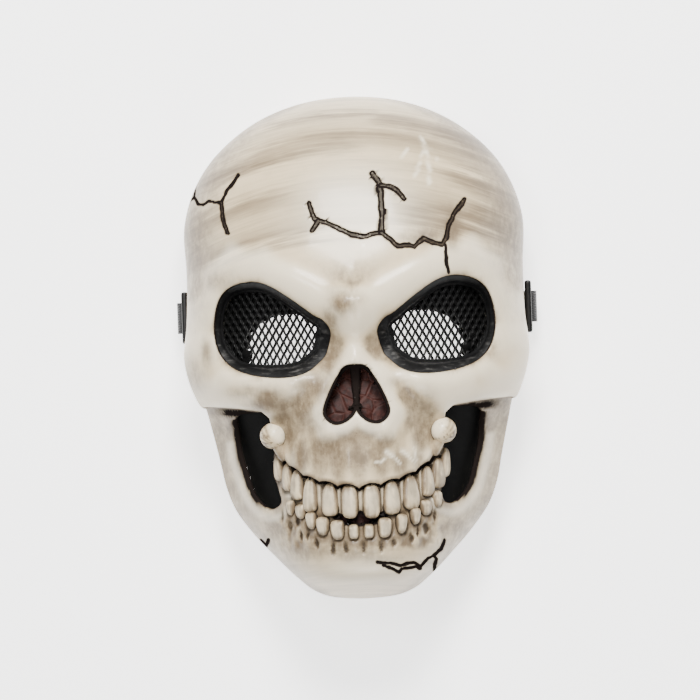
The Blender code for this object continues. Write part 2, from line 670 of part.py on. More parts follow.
for index, spot in enumerate(path):
    ahead = Vector(path[min(index + 1, len(path) - 1)]) - Vector(path[max(index - 1, 0)])
    on_floor = len(side_path) <= index < len(path) - len(side_path)
    across = Vector((-ahead.y, ahead.x, 0)).normalized() if on_floor else Vector((0, -1, 0))
    edges.append([ribbon.verts.new(Vector(spot) + across * (STRAP_WIDTH / 2 * sign)) for sign in (-1, 1)])
for (a, b), (c, d) in zip(edges, edges[1:]):
    ribbon.faces.new([a, b, d, c])
strap = new_object("head_strap", ribbon, mask)
solid = strap.modifiers.new("Webbing", "SOLIDIFY")
solid.thickness = STRAP_THICK
solid.offset = 0
material(strap, BLACK, 0.9)
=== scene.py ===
from collections import namedtuple
import functools
import math

import bpy
import numpy as np
from mathutils import Matrix, Vector


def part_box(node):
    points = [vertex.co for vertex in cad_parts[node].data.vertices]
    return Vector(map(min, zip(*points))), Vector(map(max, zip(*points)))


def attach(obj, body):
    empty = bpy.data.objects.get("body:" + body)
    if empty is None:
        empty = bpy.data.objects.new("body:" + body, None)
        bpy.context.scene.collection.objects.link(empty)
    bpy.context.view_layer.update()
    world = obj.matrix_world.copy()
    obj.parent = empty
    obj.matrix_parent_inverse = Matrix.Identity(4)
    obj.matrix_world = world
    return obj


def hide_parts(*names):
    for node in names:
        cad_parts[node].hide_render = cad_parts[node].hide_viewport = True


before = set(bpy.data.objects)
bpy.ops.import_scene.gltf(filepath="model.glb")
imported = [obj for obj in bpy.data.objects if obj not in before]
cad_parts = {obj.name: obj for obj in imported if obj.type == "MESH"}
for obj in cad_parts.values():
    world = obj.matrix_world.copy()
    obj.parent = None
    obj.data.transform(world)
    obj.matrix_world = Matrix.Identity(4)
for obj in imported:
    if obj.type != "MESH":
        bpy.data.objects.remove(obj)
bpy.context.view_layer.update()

# Sizes that come from the frame, and those of the mask's own making
SKULL_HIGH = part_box("skull_shell")[1]
HALF_WIDTH = SKULL_HIGH[0]
HALF_HEIGHT = SKULL_HIGH[1]
DEPTH = 0.112
WALL = 0.0022
GAP = 0.0003
RIM_TUCK = 0.002
JAW_DROP = WALL + GAP
CHIN_REACH = HALF_HEIGHT + JAW_DROP
FRAME_DROP = WALL + GAP
MESH_DROP = 0.0055
PAD_DROP = 0.0071
BACKING_DROP = 0.005
EDGE_ROUND = 0.0013
CHEEK_ROUND = 0.0055
NOSE_ROUND = 0.0030
NOSE_INSET = 0.0021

# Heights and depths of the fine relief
SEPTUM_DROP = 0.0035
ROOT_SWELL = 0.0010
CRACK_DEPTH = 0.0009
UNEVENNESS = 0.0007
TOOTH_GROOVE = 0.0010
PIT_DEPTH = 0.0017
NODULES_HIGH = 0.0026
RIDGE_RISE = 0.0023
ROOT_BAND_RISE = 0.0006
GAP_LIP_RISE = 0.0012

# Fineness of the moulded surfaces, coarse first and then where detail calls for more
ROWS = 150
COLUMNS = 96
WALL_RINGS = 8
COLUMN_CROWDING = 0.86
COARSE_EDGE = 0.0026
MOUTH_EDGE = 0.0011
FINE_EDGE = 0.0006
NEAR_EDGE = 0.0022
NEAR_CRACK = 0.0026

Section = namedtuple("Section", "up width crest edge power shoulder")
SECTIONS = [
    Section(-1.000, 0.000, 0.40, 0.40, 2.4, 0.50),
    Section(-0.989, 0.200, 0.50, 0.40, 2.4, 0.50),
    Section(-0.964, 0.298, 0.64, 0.40, 2.4, 0.50),
    Section(-0.917, 0.390, 0.80, 0.39, 2.4, 0.52),
    Section(-0.824, 0.532, 0.862, 0.37, 2.3, 0.60),
    Section(-0.730, 0.660, 0.89, 0.35, 2.1, 0.75),
    Section(-0.636, 0.761, 0.915, 0.33, 1.9, 0.90),
    Section(-0.542, 0.815, 0.925, 0.32, 1.75, 1.00),
    Section(-0.449, 0.844, 0.92, 0.32, 1.75, 1.00),
    Section(-0.308, 0.891, 0.91, 0.34, 1.9, 0.95),
    Section(-0.212, 0.925, 0.895, 0.40, 2.1, 0.80),
    Section(-0.120, 0.974, 0.87, 0.45, 2.2, 0.70),
    Section(-0.030, 1.000, 0.85, 0.44, 2.3, 0.65),
    Section(0.100, 0.982, 0.865, 0.40, 2.4, 0.60),
    Section(0.309, 0.978, 0.91, 0.32, 2.6, 0.55),
    Section(0.498, 0.985, 0.875, 0.29, 2.6, 0.50),
    Section(0.687, 0.890, 0.80, 0.28, 2.5, 0.50),
    Section(0.880, 0.617, 0.645, 0.27, 2.4, 0.50),
    Section(0.973, 0.315, 0.44, 0.26, 2.4, 0.50),
    Section(1.000, 0.000, 0.255, 0.255, 2.4, 0.50),
]
LATITUDES = [math.asin(row.up) for row in SECTIONS]

# Raised forms: a line of points, the reach of its slope and its height, as shares
Ridge = namedtuple("Ridge", "name reach height line")
SKULL_RIDGES = [
    Ridge("brow", 0.110, 0.072,
          [(0.10, 0.15), (0.23, 0.21), (0.37, 0.275), (0.52, 0.325), (0.66, 0.33), (0.79, 0.28),
           (0.87, 0.17)]),
    Ridge("glabella", 0.150, 0.034, [(-0.05, 0.21), (0.05, 0.21)]),
    Ridge("nose_bridge", 0.075, 0.065, [(0.0, 0.17), (0.0, 0.05), (0.0, -0.05)]),
    Ridge("cheekbone", 0.110, 0.070,
          [(0.96, 0.00), (0.88, -0.12), (0.72, -0.185), (0.54, -0.19), (0.38, -0.15)]),
    Ridge("orbit_rim", 0.060, 0.028,
          [(0.83, 0.02), (0.75, -0.08), (0.58, -0.13), (0.36, -0.14), (0.18, -0.09)]),
    Ridge("nose_lip", 0.050, 0.038,
          [(0.0, -0.045), (0.11, -0.095), (0.18, -0.18), (0.22, -0.25), (0.16, -0.325), (0.06, -0.30),
           (0.0, -0.27)]),
    Ridge("maxilla", 0.200, 0.026, [(-0.30, -0.42), (0.30, -0.42)]),
    Ridge("cheek_hollow", 0.060, -0.030, [(0.31, -0.20), (0.37, -0.27), (0.42, -0.34)]),
    Ridge("temple_hollow", 0.090, -0.022, [(0.93, 0.27), (0.90, 0.40)]),
]
JAW_RIDGES = [
    Ridge("chin", 0.130, 0.022, [(-0.20, -0.88), (0.20, -0.88)]),
    Ridge("jaw_corner", 0.060, 0.025, [(0.73, -0.45), (0.67, -0.58), (0.57, -0.655), (0.46, -0.65)]),
]

# Outlines of the right half of the face, as shares of the half width and half height
Eye = namedtuple("Eye", "across up band")
EYE = [
    Eye(0.142, 0.062, 0.082), Eye(0.180, 0.104, 0.055), Eye(0.236, 0.127, 0.042),
    Eye(0.366, 0.195, 0.040), Eye(0.484, 0.247, 0.044), Eye(0.586, 0.264, 0.050),
    Eye(0.704, 0.246, 0.048), Eye(0.777, 0.193, 0.046), Eye(0.806, 0.085, 0.046),
    Eye(0.768, -0.015, 0.052), Eye(0.659, -0.077, 0.052), Eye(0.462, -0.105, 0.068),
    Eye(0.298, -0.093, 0.074), Eye(0.191, -0.039, 0.076), Eye(0.160, 0.000, 0.078),
]
NOSE = [
    (0.010, -0.085), (0.058, -0.079), (0.101, -0.112), (0.146, -0.166), (0.184, -0.230), (0.184, -0.268),
    (0.135, -0.298), (0.070, -0.293), (0.016, -0.263), (-0.003, -0.225), (0.000, -0.160),
]
NOSE_ARCH = [
    (0.0, -0.071), (0.050, -0.075), (0.084, -0.098), (0.080, -0.150), (0.050, -0.190), (0.018, -0.218),
    (0.0, -0.226),
]
MOUTH = [(0.0, -0.650), (0.068, -0.670), (0.152, -0.650), (0.152, -0.662), (0.090, -0.692), (0.0, -0.697)]
CHEEK = [
    (0.510, -0.255), (0.600, -0.252), (0.698, -0.262), (0.700, -0.320), (0.690, -0.400), (0.659, -0.480),
    (0.625, -0.556), (0.569, -0.606), (0.518, -0.624), (0.467, -0.602), (0.479, -0.556), (0.499, -0.498),
    (0.501, -0.432), (0.495, -0.400), (0.495, -0.320),
]
LINER = [
    (0.00, -0.046), (0.14, -0.058), (0.215, -0.110), (0.237, -0.26), (0.25, -0.46),
    (0.23, -0.70), (0.14, -0.745), (0.0, -0.752),
]
PAD = [
    (0.0, 0.10), (0.20, 0.093), (0.34, 0.124), (0.47, 0.124), (0.585, 0.100), (0.653, 0.058), (0.681, 0.0),
    (0.687, -0.062), (0.785, -0.062), (0.830, 0.046), (0.822, 0.170), (0.720, 0.278), (0.507, 0.332),
    (0.225, 0.326), (0.0, 0.326),
]

# The scalloped edge over the gums: cusps, and the arches between them
Scallop = namedtuple("Scallop", "cusp_across cusp_up arch")
GUM = [
    Scallop(0.0, -0.561, 0.015), Scallop(0.126, -0.550, 0.011), Scallop(0.231, -0.530, 0.007),
    Scallop(0.327, -0.503, 0.008), Scallop(0.410, -0.463, 0.007), Scallop(0.495, -0.392, 0.0),
]
CHEEK_EDGE = [
    (0.501, -0.340), (0.518, -0.278), (0.563, -0.259), (0.676, -0.247), (0.788, -0.239), (1.2, -0.218),
]
JAW_TOP = [
    (0.0, -0.510), (0.225, -0.486), (0.338, -0.455), (0.428, -0.386), (0.462, -0.324), (0.473, -0.262),
    (0.563, -0.228), (0.676, -0.216), (0.901, -0.197), (1.2, -0.185),
]

# Teeth with their own sides, since hand-cut ones differ: middle, half width and half height
Tooth = namedtuple("Tooth", "across up half_width half_height upper")
TEETH = [
    Tooth(-0.060, -0.606, 0.045, 0.066, True), Tooth(0.070, -0.607, 0.046, 0.067, True),
    Tooth(-0.175, -0.596, 0.041, 0.065, True), Tooth(0.186, -0.594, 0.042, 0.068, True),
    Tooth(-0.290, -0.574, 0.036, 0.069, True), Tooth(0.298, -0.577, 0.040, 0.069, True),
    Tooth(-0.365, -0.535, 0.030, 0.060, True), Tooth(0.393, -0.538, 0.031, 0.060, True),
    Tooth(-0.420, -0.504, 0.025, 0.056, True), Tooth(0.455, -0.508, 0.031, 0.061, True),
    Tooth(-0.470, -0.468, 0.022, 0.052, True), Tooth(0.496, -0.468, 0.022, 0.059, True),
    Tooth(-0.042, -0.726, 0.028, 0.029, False), Tooth(0.047, -0.726, 0.028, 0.028, False),
    Tooth(-0.136, -0.717, 0.036, 0.039, False), Tooth(0.140, -0.714, 0.036, 0.039, False),
    Tooth(-0.222, -0.700, 0.033, 0.037, False), Tooth(0.238, -0.700, 0.027, 0.039, False),
    Tooth(-0.289, -0.677, 0.025, 0.034, False), Tooth(0.318, -0.672, 0.024, 0.034, False),
    Tooth(-0.349, -0.640, 0.025, 0.029, False), Tooth(0.380, -0.641, 0.027, 0.031, False),
    Tooth(-0.408, -0.624, 0.019, 0.030, False), Tooth(0.446, -0.610, 0.021, 0.033, False),
]
# Pits between the roots of the lower teeth
Root = namedtuple("Root", "across up half_width half_height")
ROOTS = [
    Root(-0.408, -0.698, 0.020, 0.030), Root(-0.344, -0.736, 0.013, 0.032),
    Root(-0.260, -0.764, 0.017, 0.031), Root(-0.161, -0.789, 0.014, 0.034),
    Root(-0.093, -0.785, 0.014, 0.029), Root(0.011, -0.787, 0.016, 0.029),
    Root(0.112, -0.787, 0.015, 0.029), Root(0.184, -0.775, 0.024, 0.018), Root(0.282, -0.760, 0.017, 0.029),
    Root(0.369, -0.723, 0.019, 0.028), Root(0.425, -0.672, 0.014, 0.030),
    Root(-0.366, -0.680, 0.014, 0.022), Root(-0.450, -0.655, 0.012, 0.030),
    Root(-0.305, -0.740, 0.010, 0.022), Root(0.322, -0.735, 0.010, 0.024),
]
KNOB_RADIUS = 0.0067
STALK_RADIUS = 0.0030
KNOB_PLACE = (0.490, -0.339)
STALK_END = (0.425, -0.428)

# Cracks, drawn as lines with a half width, all in shares
CHIN_CRACK_UPPER = [
    (0.086, -0.850), (0.157, -0.855), (0.219, -0.864), (0.255, -0.856), (0.291, -0.855), (0.330, -0.874),
    (0.353, -0.856), (0.380, -0.842), (0.426, -0.822), (0.449, -0.807), (0.468, -0.774),
]
CHIN_CRACK_LOWER = [
    (0.121, -0.863), (0.174, -0.879), (0.209, -0.893), (0.227, -0.878), (0.268, -0.874), (0.303, -0.872),
    (0.329, -0.883),
]
Crack = namedtuple("Crack", "width line")
CRACKS = [
    Crack(1.0, [(-0.231, 0.571), (-0.203, 0.510), (-0.180, 0.502)]),
    Crack(0.9, [(-0.220, 0.463), (-0.180, 0.502), (-0.090, 0.475), (0.0, 0.444), (0.045, 0.432),
                (0.180, 0.444)]),
    Crack(1.2, [(0.180, 0.444), (0.180, 0.633), (0.135, 0.680)]),
    Crack(0.9, [(0.180, 0.633), (0.225, 0.629), (0.282, 0.606), (0.315, 0.575)]),
    Crack(0.9, [(0.180, 0.444), (0.225, 0.417), (0.270, 0.390), (0.327, 0.394), (0.360, 0.386),
                (0.417, 0.417), (0.473, 0.398), (0.518, 0.390), (0.541, 0.409), (0.563, 0.463),
                (0.597, 0.510), (0.653, 0.564)]),
    Crack(0.5, [(0.541, 0.386), (0.541, 0.309), (0.552, 0.278)]),
    Crack(0.5, [(-0.980, 0.548), (-0.946, 0.602), (-0.912, 0.618), (-0.890, 0.587), (-0.855, 0.583),
                (-0.822, 0.598), (-0.743, 0.587)]),
    Crack(0.6, [(-0.743, 0.587), (-0.710, 0.633), (-0.642, 0.695)]),
    Crack(0.8, [(-0.743, 0.587), (-0.732, 0.517), (-0.710, 0.467)]),
    Crack(0.4, [(-0.912, 0.618), (-0.901, 0.680)]),
    Crack(0.55, CHIN_CRACK_UPPER), Crack(0.50, CHIN_CRACK_LOWER),
    Crack(0.50, [(0.406, -0.829), (0.420, -0.849), (0.414, -0.865), (0.401, -0.893)]),
    Crack(0.60, [(-0.593, -0.756), (-0.571, -0.778), (-0.545, -0.751)]),
]
CRACK_HALF = 0.00108
CRACK_FOOT = 0.036

# Stains of the brown wash, some of them painted shade under the eyes and cheekbones: middle, reach across and
# up, and strength
Stain = namedtuple("Stain", "across up wide tall strength")
STAINS = [
    Stain(-0.06, 0.175, 0.08, 0.055, 0.80), Stain(-0.13, 0.10, 0.05, 0.06, 0.75),
    Stain(0.02, 0.19, 0.06, 0.03, 0.5), Stain(-0.51, -0.203, 0.10, 0.055, 1.0),
    Stain(-0.43, -0.25, 0.07, 0.09, 0.9), Stain(-0.62, -0.16, 0.13, 0.03, 0.55),
    Stain(-0.40, -0.345, 0.055, 0.09, 0.95), Stain(-0.24, -0.15, 0.12, 0.06, 0.75),
    Stain(-0.15, -0.05, 0.06, 0.09, 0.75), Stain(-0.30, -0.25, 0.13, 0.10, 0.65),
    Stain(-0.33, -0.42, 0.09, 0.07, 1.0), Stain(-0.18, -0.40, 0.13, 0.06, 0.85),
    Stain(0.0, -0.35, 0.12, 0.035, 0.9), Stain(-0.05, -0.44, 0.30, 0.075, 0.85),
    Stain(0.16, -0.38, 0.09, 0.04, 0.65), Stain(0.14, -0.46, 0.24, 0.055, 0.75),
    Stain(0.37, -0.37, 0.055, 0.06, 0.85), Stain(0.33, -0.45, 0.10, 0.04, 0.55),
    Stain(0.42, -0.27, 0.05, 0.09, 0.45), Stain(0.23, -0.14, 0.07, 0.03, 0.35),
    Stain(0.78, -0.02, 0.05, 0.05, 0.45), Stain(-0.86, 0.0, 0.04, 0.06, 0.55),
    Stain(0.0, -0.60, 0.55, 0.12, 0.45), Stain(-0.03, -0.82, 0.13, 0.025, 0.6),
    Stain(0.10, -0.835, 0.14, 0.02, 0.5), Stain(-0.35, -0.78, 0.18, 0.06, 0.5),
    Stain(-0.50, -0.70, 0.10, 0.06, 0.6), Stain(-0.47, -0.63, 0.04, 0.08, 0.8),
    Stain(0.48, -0.62, 0.05, 0.08, 0.85), Stain(0.52, -0.72, 0.10, 0.05, 0.55),
    Stain(0.72, -0.32, 0.06, 0.07, 1.0), Stain(0.74, -0.44, 0.04, 0.12, 0.6),
    Stain(-0.74, -0.30, 0.05, 0.06, 0.8), Stain(-0.71, -0.42, 0.04, 0.12, 0.8),
    Stain(-0.60, -0.60, 0.06, 0.05, 0.6), Stain(-0.92, 0.40, 0.10, 0.28, 0.6),
    Stain(0.93, 0.45, 0.12, 0.30, 0.6), Stain(-0.80, 0.28, 0.14, 0.05, 0.5),
    Stain(0.42, 0.425, 0.13, 0.025, 0.85), Stain(0.58, 0.45, 0.04, 0.07, 0.8),
    Stain(-0.95, -0.10, 0.08, 0.10, 0.45),
]

# Brushed arcs over the dome: height in the middle, bend, ends across, half width and strength
Stroke = namedtuple("Stroke", "up bend start end half strength")
STROKES = [
    Stroke(0.780, 3.0, -0.95, 0.15, 0.026, 0.75), Stroke(0.444, 2.5, -0.95, -0.02, 0.034, 0.95),
    Stroke(0.908, 3.7, 0.05, 0.90, 0.028, 0.85), Stroke(0.750, 3.4, 0.42, 0.95, 0.045, 0.65),
    Stroke(0.533, 2.2, 0.20, 0.95, 0.040, 0.75), Stroke(0.640, 2.8, -0.95, -0.25, 0.030, 0.40),
    Stroke(0.930, 3.6, -0.60, 0.30, 0.020, 0.60), Stroke(0.840, 3.2, -0.80, 0.90, 0.022, 0.40),
    Stroke(0.350, 1.0, -0.55, 0.05, 0.020, 0.35), Stroke(0.600, 2.4, 0.55, 0.95, 0.030, 0.60),
]

# Scratches that lay the light plastic open
SCRATCHES = [
    (0.0007, [(0.415, 0.818), (0.442, 0.769), (0.458, 0.712), (0.460, 0.631)]),
    (0.0006, [(0.432, 0.778), (0.404, 0.713), (0.378, 0.665)]),
    (0.0004, [(0.455, 0.777), (0.506, 0.727)]),
    (0.0004, [(0.298, 0.732), (0.337, 0.771)]),
    (0.0004, [(0.060, 0.395), (0.105, 0.412)]),
    (0.0011, [(0.166, -0.416), (0.197, -0.432)]), (0.0006, [(0.190, -0.430), (0.235, -0.465)]),
    (0.0011, [(0.255, -0.415), (0.286, -0.431)]), (0.0006, [(0.280, -0.430), (0.324, -0.459)]),
    (0.0006, [(0.102, -0.454), (0.129, -0.458), (0.152, -0.440)]),
    (0.0006, [(0.318, -0.404), (0.333, -0.453)]),
]


def interpolate(where, knots, values):
    """Read a smooth curve through the values at the knots."""
    knots = np.asarray(knots, float)
    values = np.asarray(values, float)
    slopes = np.gradient(values, knots)
    index = np.clip(np.searchsorted(knots, where, side="right") - 1, 0, len(knots) - 2)
    span = knots[index + 1] - knots[index]
    t = (where - knots[index]) / span
    first = (1 + 2 * t) * (1 - t) ** 2 * values[index] + t * (1 - t) ** 2 * span * slopes[index]
    second = t * t * (3 - 2 * t) * values[index + 1] + t * t * (t - 1) * span * slopes[index + 1]
    return first + second


# The base form: the skull's own, and the jaw's, which nests inside it
Form = namedtuple("Form", "chin width_share crest_drop")
SKULL_FORM = Form(CHIN_REACH, 1.0, 0.0)
JAW_FORM = Form(HALF_HEIGHT, 0.967, JAW_DROP * 1.15)


def section(latitude, form):
    """Half width, crest height, edge height and the two powers of the section at a latitude."""
    columns = zip(*[(r.width, r.crest, r.edge, r.power, r.shoulder) for r in SECTIONS])
    width, crest, edge, power, shoulder = [interpolate(latitude, LATITUDES, c) for c in columns]
    width = np.maximum(width, 0) * HALF_WIDTH * form.width_share
    crest = np.maximum(crest * DEPTH - form.crest_drop, edge * DEPTH)
    return width, crest, edge * DEPTH, power, shoulder


def height(x, y, form=SKULL_FORM):
    """Height of the smooth base form over the rim plane."""
    reach = np.where(y < 0, form.chin, HALF_HEIGHT)
    width, crest, edge, power, shoulder = section(np.arcsin(np.clip(y / reach, -1, 1)), form)
    share = np.clip(np.abs(x) / np.maximum(width, 1e-6), 0, 1)
    return edge + (crest - edge) * (1 - share ** power) ** shoulder


def width_at(y, form):
    """Half width of the base form at each height up the face."""
    reach = np.where(y < 0, form.chin, HALF_HEIGHT)
    return section(np.arcsin(np.clip(y / reach, -1, 1)), form)[0]


def drop_along_normal(x, y, drop, form=SKULL_FORM):
    """Height of the surface that lies a drop under the base form, measured square to it."""
    step = 5e-4
    slope_x = (height(x + step, y, form) - height(x - step, y, form)) / (2 * step)
    slope_y = (height(x, y + step, form) - height(x, y - step, form)) / (2 * step)
    return height(x, y, form) - drop * np.minimum(np.sqrt(1 + slope_x ** 2 + slope_y ** 2), 2.2)


def distance_to_line(x, y, line):
    """Distance from each point to a line of points in the plane."""
    best = np.full(np.shape(x), np.inf)
    for (ax, ay), (bx, by) in zip(line, line[1:]):
        along = (x - ax) * (bx - ax) + (y - ay) * (by - ay)
        t = np.clip(along / ((bx - ax) ** 2 + (by - ay) ** 2 + 1e-18), 0, 1)
        best = np.minimum(best, np.hypot(x - ax - t * (bx - ax), y - ay - t * (by - ay)))
    return best


def outside_distance(x, y, loop):
    """Signed distance to a closed outline, positive outside it."""
    loop = np.asarray(loop, float)
    ahead = np.roll(loop, -1, 0)
    crossings = np.zeros(np.shape(x), int)
    for (ax, ay), (bx, by) in zip(loop, ahead):
        if ay != by:
            crossings += ((ay > y) != (by > y)) & (x < (bx - ax) * (y - ay) / (by - ay) + ax)
    near = distance_to_line(x, y, [tuple(p) for p in loop] + [tuple(loop[0])])
    return np.where(crossings % 2 == 1, -near, near)


def place(points):
    """Turn shares of the half width and half height into metres."""
    return [(across * HALF_WIDTH, up * HALF_HEIGHT) for across, up in points]


def smooth_loop(points, steps=8):
    """A closed rounded outline through the points."""
    p = np.asarray(points, float)
    loop = []
    for i in range(len(p)):
        a, b, c, d = p[i - 1], p[i], p[(i + 1) % len(p)], p[(i + 2) % len(p)]
        for t in np.arange(steps) / steps:
            loop.append(0.5 * (2 * b + (c - a) * t + (2 * a - 5 * b + 4 * c - d) * t ** 2
                               + (3 * b - a - 3 * c + d) * t ** 3))
    return np.array(loop)


def grow(loop, amount):
    """Move each point of a closed outline outwards by an amount, or inwards if it is negative."""
    loop = np.asarray(loop, float)
    along = np.roll(loop, -1, 0) - np.roll(loop, 1, 0)
    along /= np.linalg.norm(along, axis=1)[:, None]
    turn = np.sum(loop[:, 0] * np.roll(loop[:, 1], -1) - np.roll(loop[:, 0], -1) * loop[:, 1])
    outward = np.stack([along[:, 1], -along[:, 0]], 1) * np.sign(turn)
    return loop + outward * np.reshape(amount, (-1, 1))


def mirrored(half):
    """Both halves of an outline given from the middle outwards and back."""
    other = [(-x, y) for x, y in reversed(half) if x > 1e-9]
    return list(half) + other


def sided(loop, side):
    """The outline on the right side of the face, or its mirror image on the left."""
    return [(side * x, y) for x, y in loop]


def either_side(x, y, loop):
    """Signed distance to an outline or its mirror image, whichever is less."""
    return np.minimum(outside_distance(x, y, sided(loop, -1)), outside_distance(x, y, sided(loop, 1)))


def relief(x, y, ridges):
    """Height that the raised forms add to the base form."""
    total = np.zeros(np.shape(x))
    for ridge in ridges:
        near = distance_to_line(np.abs(x), y, place(ridge.line)) / (ridge.reach * HALF_HEIGHT)
        total += ridge.height * DEPTH * np.exp(-near ** 2)
    return total


def noise(x, y, seed):
    """Smooth value noise between 0 and 1 on a unit lattice."""
    cell_x, cell_y = np.floor(x), np.floor(y)
    part_x, part_y = x - cell_x, y - cell_y
    part_x = part_x ** 2 * (3 - 2 * part_x)
    part_y = part_y ** 2 * (3 - 2 * part_y)

    def corner(a, b):
        value = np.sin((cell_x + a) * 127.1 + (cell_y + b) * 311.7 + seed * 74.7) * 43758.5453
        return value - np.floor(value)

    low = corner(0, 0) * (1 - part_x) + corner(1, 0) * part_x
    high = corner(0, 1) * (1 - part_x) + corner(1, 1) * part_x
    return low * (1 - part_y) + high * part_y


def layered_noise(x, y, seed, layers=4):
    """Value noise with finer and fainter layers, between 0 and 1."""
    total = sum(noise(x * 2 ** k, y * 2 ** k, seed + k) / 2 ** k for k in range(layers))
    return total / sum(0.5 ** k for k in range(layers))


def fade(value, low, high):
    """Smooth step from 0 at low to 1 at high."""
    t = np.clip((value - low) / (high - low), 0, 1)
    return t * t * (3 - 2 * t)


def fade_out(distance, whole, none):
    """Smooth step from 1 at the first distance to 0 at the second."""
    return 1 - fade(distance, whole, none)


def strongest(*layers):
    """The strongest of several layers at each point."""
    return functools.reduce(np.maximum, layers)


def grid_triangles(rows, columns, closed=False, flipped=False):
    """Two triangles for each cell of a grid of points, which may close on itself sideways."""
    index = np.arange(rows * columns).reshape(rows, columns)
    if closed:
        index = np.concatenate([index, index[:, :1]], 1)
    a, b, c, d = index[:-1, :-1], index[:-1, 1:], index[1:, 1:], index[1:, :-1]
    order = [(a, c, b), (a, d, c)] if flipped else [(a, b, c), (a, c, d)]
    return np.concatenate([np.stack(t, -1).reshape(-1, 3) for t in order])


def start_grid(form):
    """Triangles over the face and its side walls; a row of data is x, y, z and 1 on a wall."""
    latitudes = np.linspace(-math.pi / 2, math.pi / 2, ROWS + 1)
    turn = COLUMN_CROWDING * np.linspace(-math.pi / 2, math.pi / 2, COLUMNS + 1)
    across = np.sin(turn) / np.sin(turn[-1])
    width, crest, edge, power, shoulder = [v[:, None] for v in section(latitudes, form)]
    reach = np.where(latitudes < 0, form.chin, HALF_HEIGHT)
    y = np.repeat((reach * np.sin(latitudes))[:, None], COLUMNS + 1, 1)
    share = np.abs(across)[None, :]
    z = edge + (crest - edge) * (1 - share ** power) ** shoulder
    face = np.stack([width * across[None, :], y, z, 0 * z], -1)
    walls = []
    for ring in range(1, WALL_RINGS + 1):
        fall = ring / WALL_RINGS
        tuck = 1 - RIM_TUCK / HALF_WIDTH * fall
        ends = face[:, [0, -1]] * np.array([tuck, tuck, 0, 0])
        ends += np.stack([0 * edge, 0 * edge, edge * (1 - fall), 1 + 0 * edge], -1)
        walls.append(ends)
    data = np.concatenate([w[:, :1] for w in reversed(walls)] + [face] + [w[:, 1:] for w in walls], 1)
    return weld(data.reshape(-1, 4), grid_triangles(*data.shape[:2]))


def weld(data, triangles):
    """Merge points in one place, and drop the triangles that this closes and the unused points."""
    keys = np.round(data[:, :3] * 1e6).astype(np.int64)
    _, first, inverse = np.unique(keys, axis=0, return_index=True, return_inverse=True)
    triangles = inverse.reshape(-1)[triangles]
    real = (triangles[:, 0] != triangles[:, 1]) & (triangles[:, 1] != triangles[:, 2])
    real &= triangles[:, 0] != triangles[:, 2]
    triangles = triangles[real]
    used, compact = np.unique(triangles, return_inverse=True)
    return data[first[used]], compact.reshape(-1, 3)


def edge_table(triangles):
    """Each edge once, and the three edge numbers of each triangle."""
    pairs = np.sort(np.stack([triangles, np.roll(triangles, -1, 1)], -1).reshape(-1, 2), 1)
    edges, inverse = np.unique(pairs, axis=0, return_inverse=True)
    return edges, inverse.reshape(-1, 3)


def refine(data, triangles, wanted, form):
    """Split the edges that are longer than wanted where they lie, without cracks in the mesh."""
    edges, numbers = edge_table(triangles)
    middle = (data[edges[:, 0]] + data[edges[:, 1]]) / 2
    length = np.linalg.norm(data[edges[:, 0], :3] - data[edges[:, 1], :3], axis=1)
    split = length > wanted(middle[:, 0], middle[:, 1]) * 1.35
    new_index = np.full(len(edges), -1)
    new_index[split] = len(data) + np.arange(split.sum())
    added = settle(middle[split], form)
    new_index = new_index[numbers]
    marks = new_index >= 0
    count = marks.sum(1)
    pieces = [triangles[count == 0]]
    full = count == 3
    corner, mid = triangles[full], new_index[full]
    for k in range(3):
        pieces.append(np.stack([corner[:, k], mid[:, k], mid[:, k - 1]], -1))
    pieces.append(mid)
    for k in range(3):
        one = (count == 1) & marks[:, k]
        t, m = triangles[one], new_index[one, k]
        a, b, c = t[:, k], t[:, (k + 1) % 3], t[:, (k + 2) % 3]
        pieces += [np.stack([a, m, c], -1), np.stack([m, b, c], -1)]
        two = (count == 2) & ~marks[:, k]
        t = triangles[two]
        a, b, c = t[:, k], t[:, (k + 1) % 3], t[:, (k + 2) % 3]
        m, n = new_index[two, (k + 1) % 3], new_index[two, (k + 2) % 3]
        pieces += [np.stack([a, b, m], -1), np.stack([a, m, n], -1), np.stack([m, c, n], -1)]
    return np.concatenate([data, added]), np.concatenate(pieces)


def settle(data, form):
    """Put points of the face, clear of its steep edge, back on the base form."""
    inner = (data[:, 3] == 0) & (np.abs(data[:, 0]) < 0.955 * width_at(data[:, 1], form))
    data = data.copy()
    data[inner, 2] = height(data[inner, 0], data[inner, 1], form)
    return data


def clip(data, triangles, region, form):
    """Keep the part of the mesh where the region's value is positive, cut along its zero line."""
    value = region(data[:, 0], data[:, 1])
    inside = value[triangles] > 0
    count = inside.sum(1)
    edges, numbers = edge_table(triangles)
    a, b = edges[:, 0], edges[:, 1]
    crossed = (value[a] > 0) != (value[b] > 0)
    share = (value[a] / np.where(crossed, value[a] - value[b], 1))[:, None]
    cuts = (data[a] * (1 - share) + data[b] * share)[crossed]
    new_index = np.full(len(edges), -1)
    new_index[crossed] = len(data) + np.arange(crossed.sum())
    new_index = new_index[numbers]
    pieces = [triangles[count == 3]]
    for k in range(3):
        a, b, c = triangles[:, k], triangles[:, (k + 1) % 3], triangles[:, (k + 2) % 3]
        ab, ca = new_index[:, k], new_index[:, (k + 2) % 3]
        one = (count == 1) & inside[:, k]
        pieces.append(np.stack([a, ab, ca], -1)[one])
        two = (count == 2) & ~inside[:, k]
        pieces += [np.stack([ab, b, c], -1)[two], np.stack([ab, c, ca], -1)[two]]
    return weld(np.concatenate([data, settle(cuts, form)]), np.concatenate(pieces))


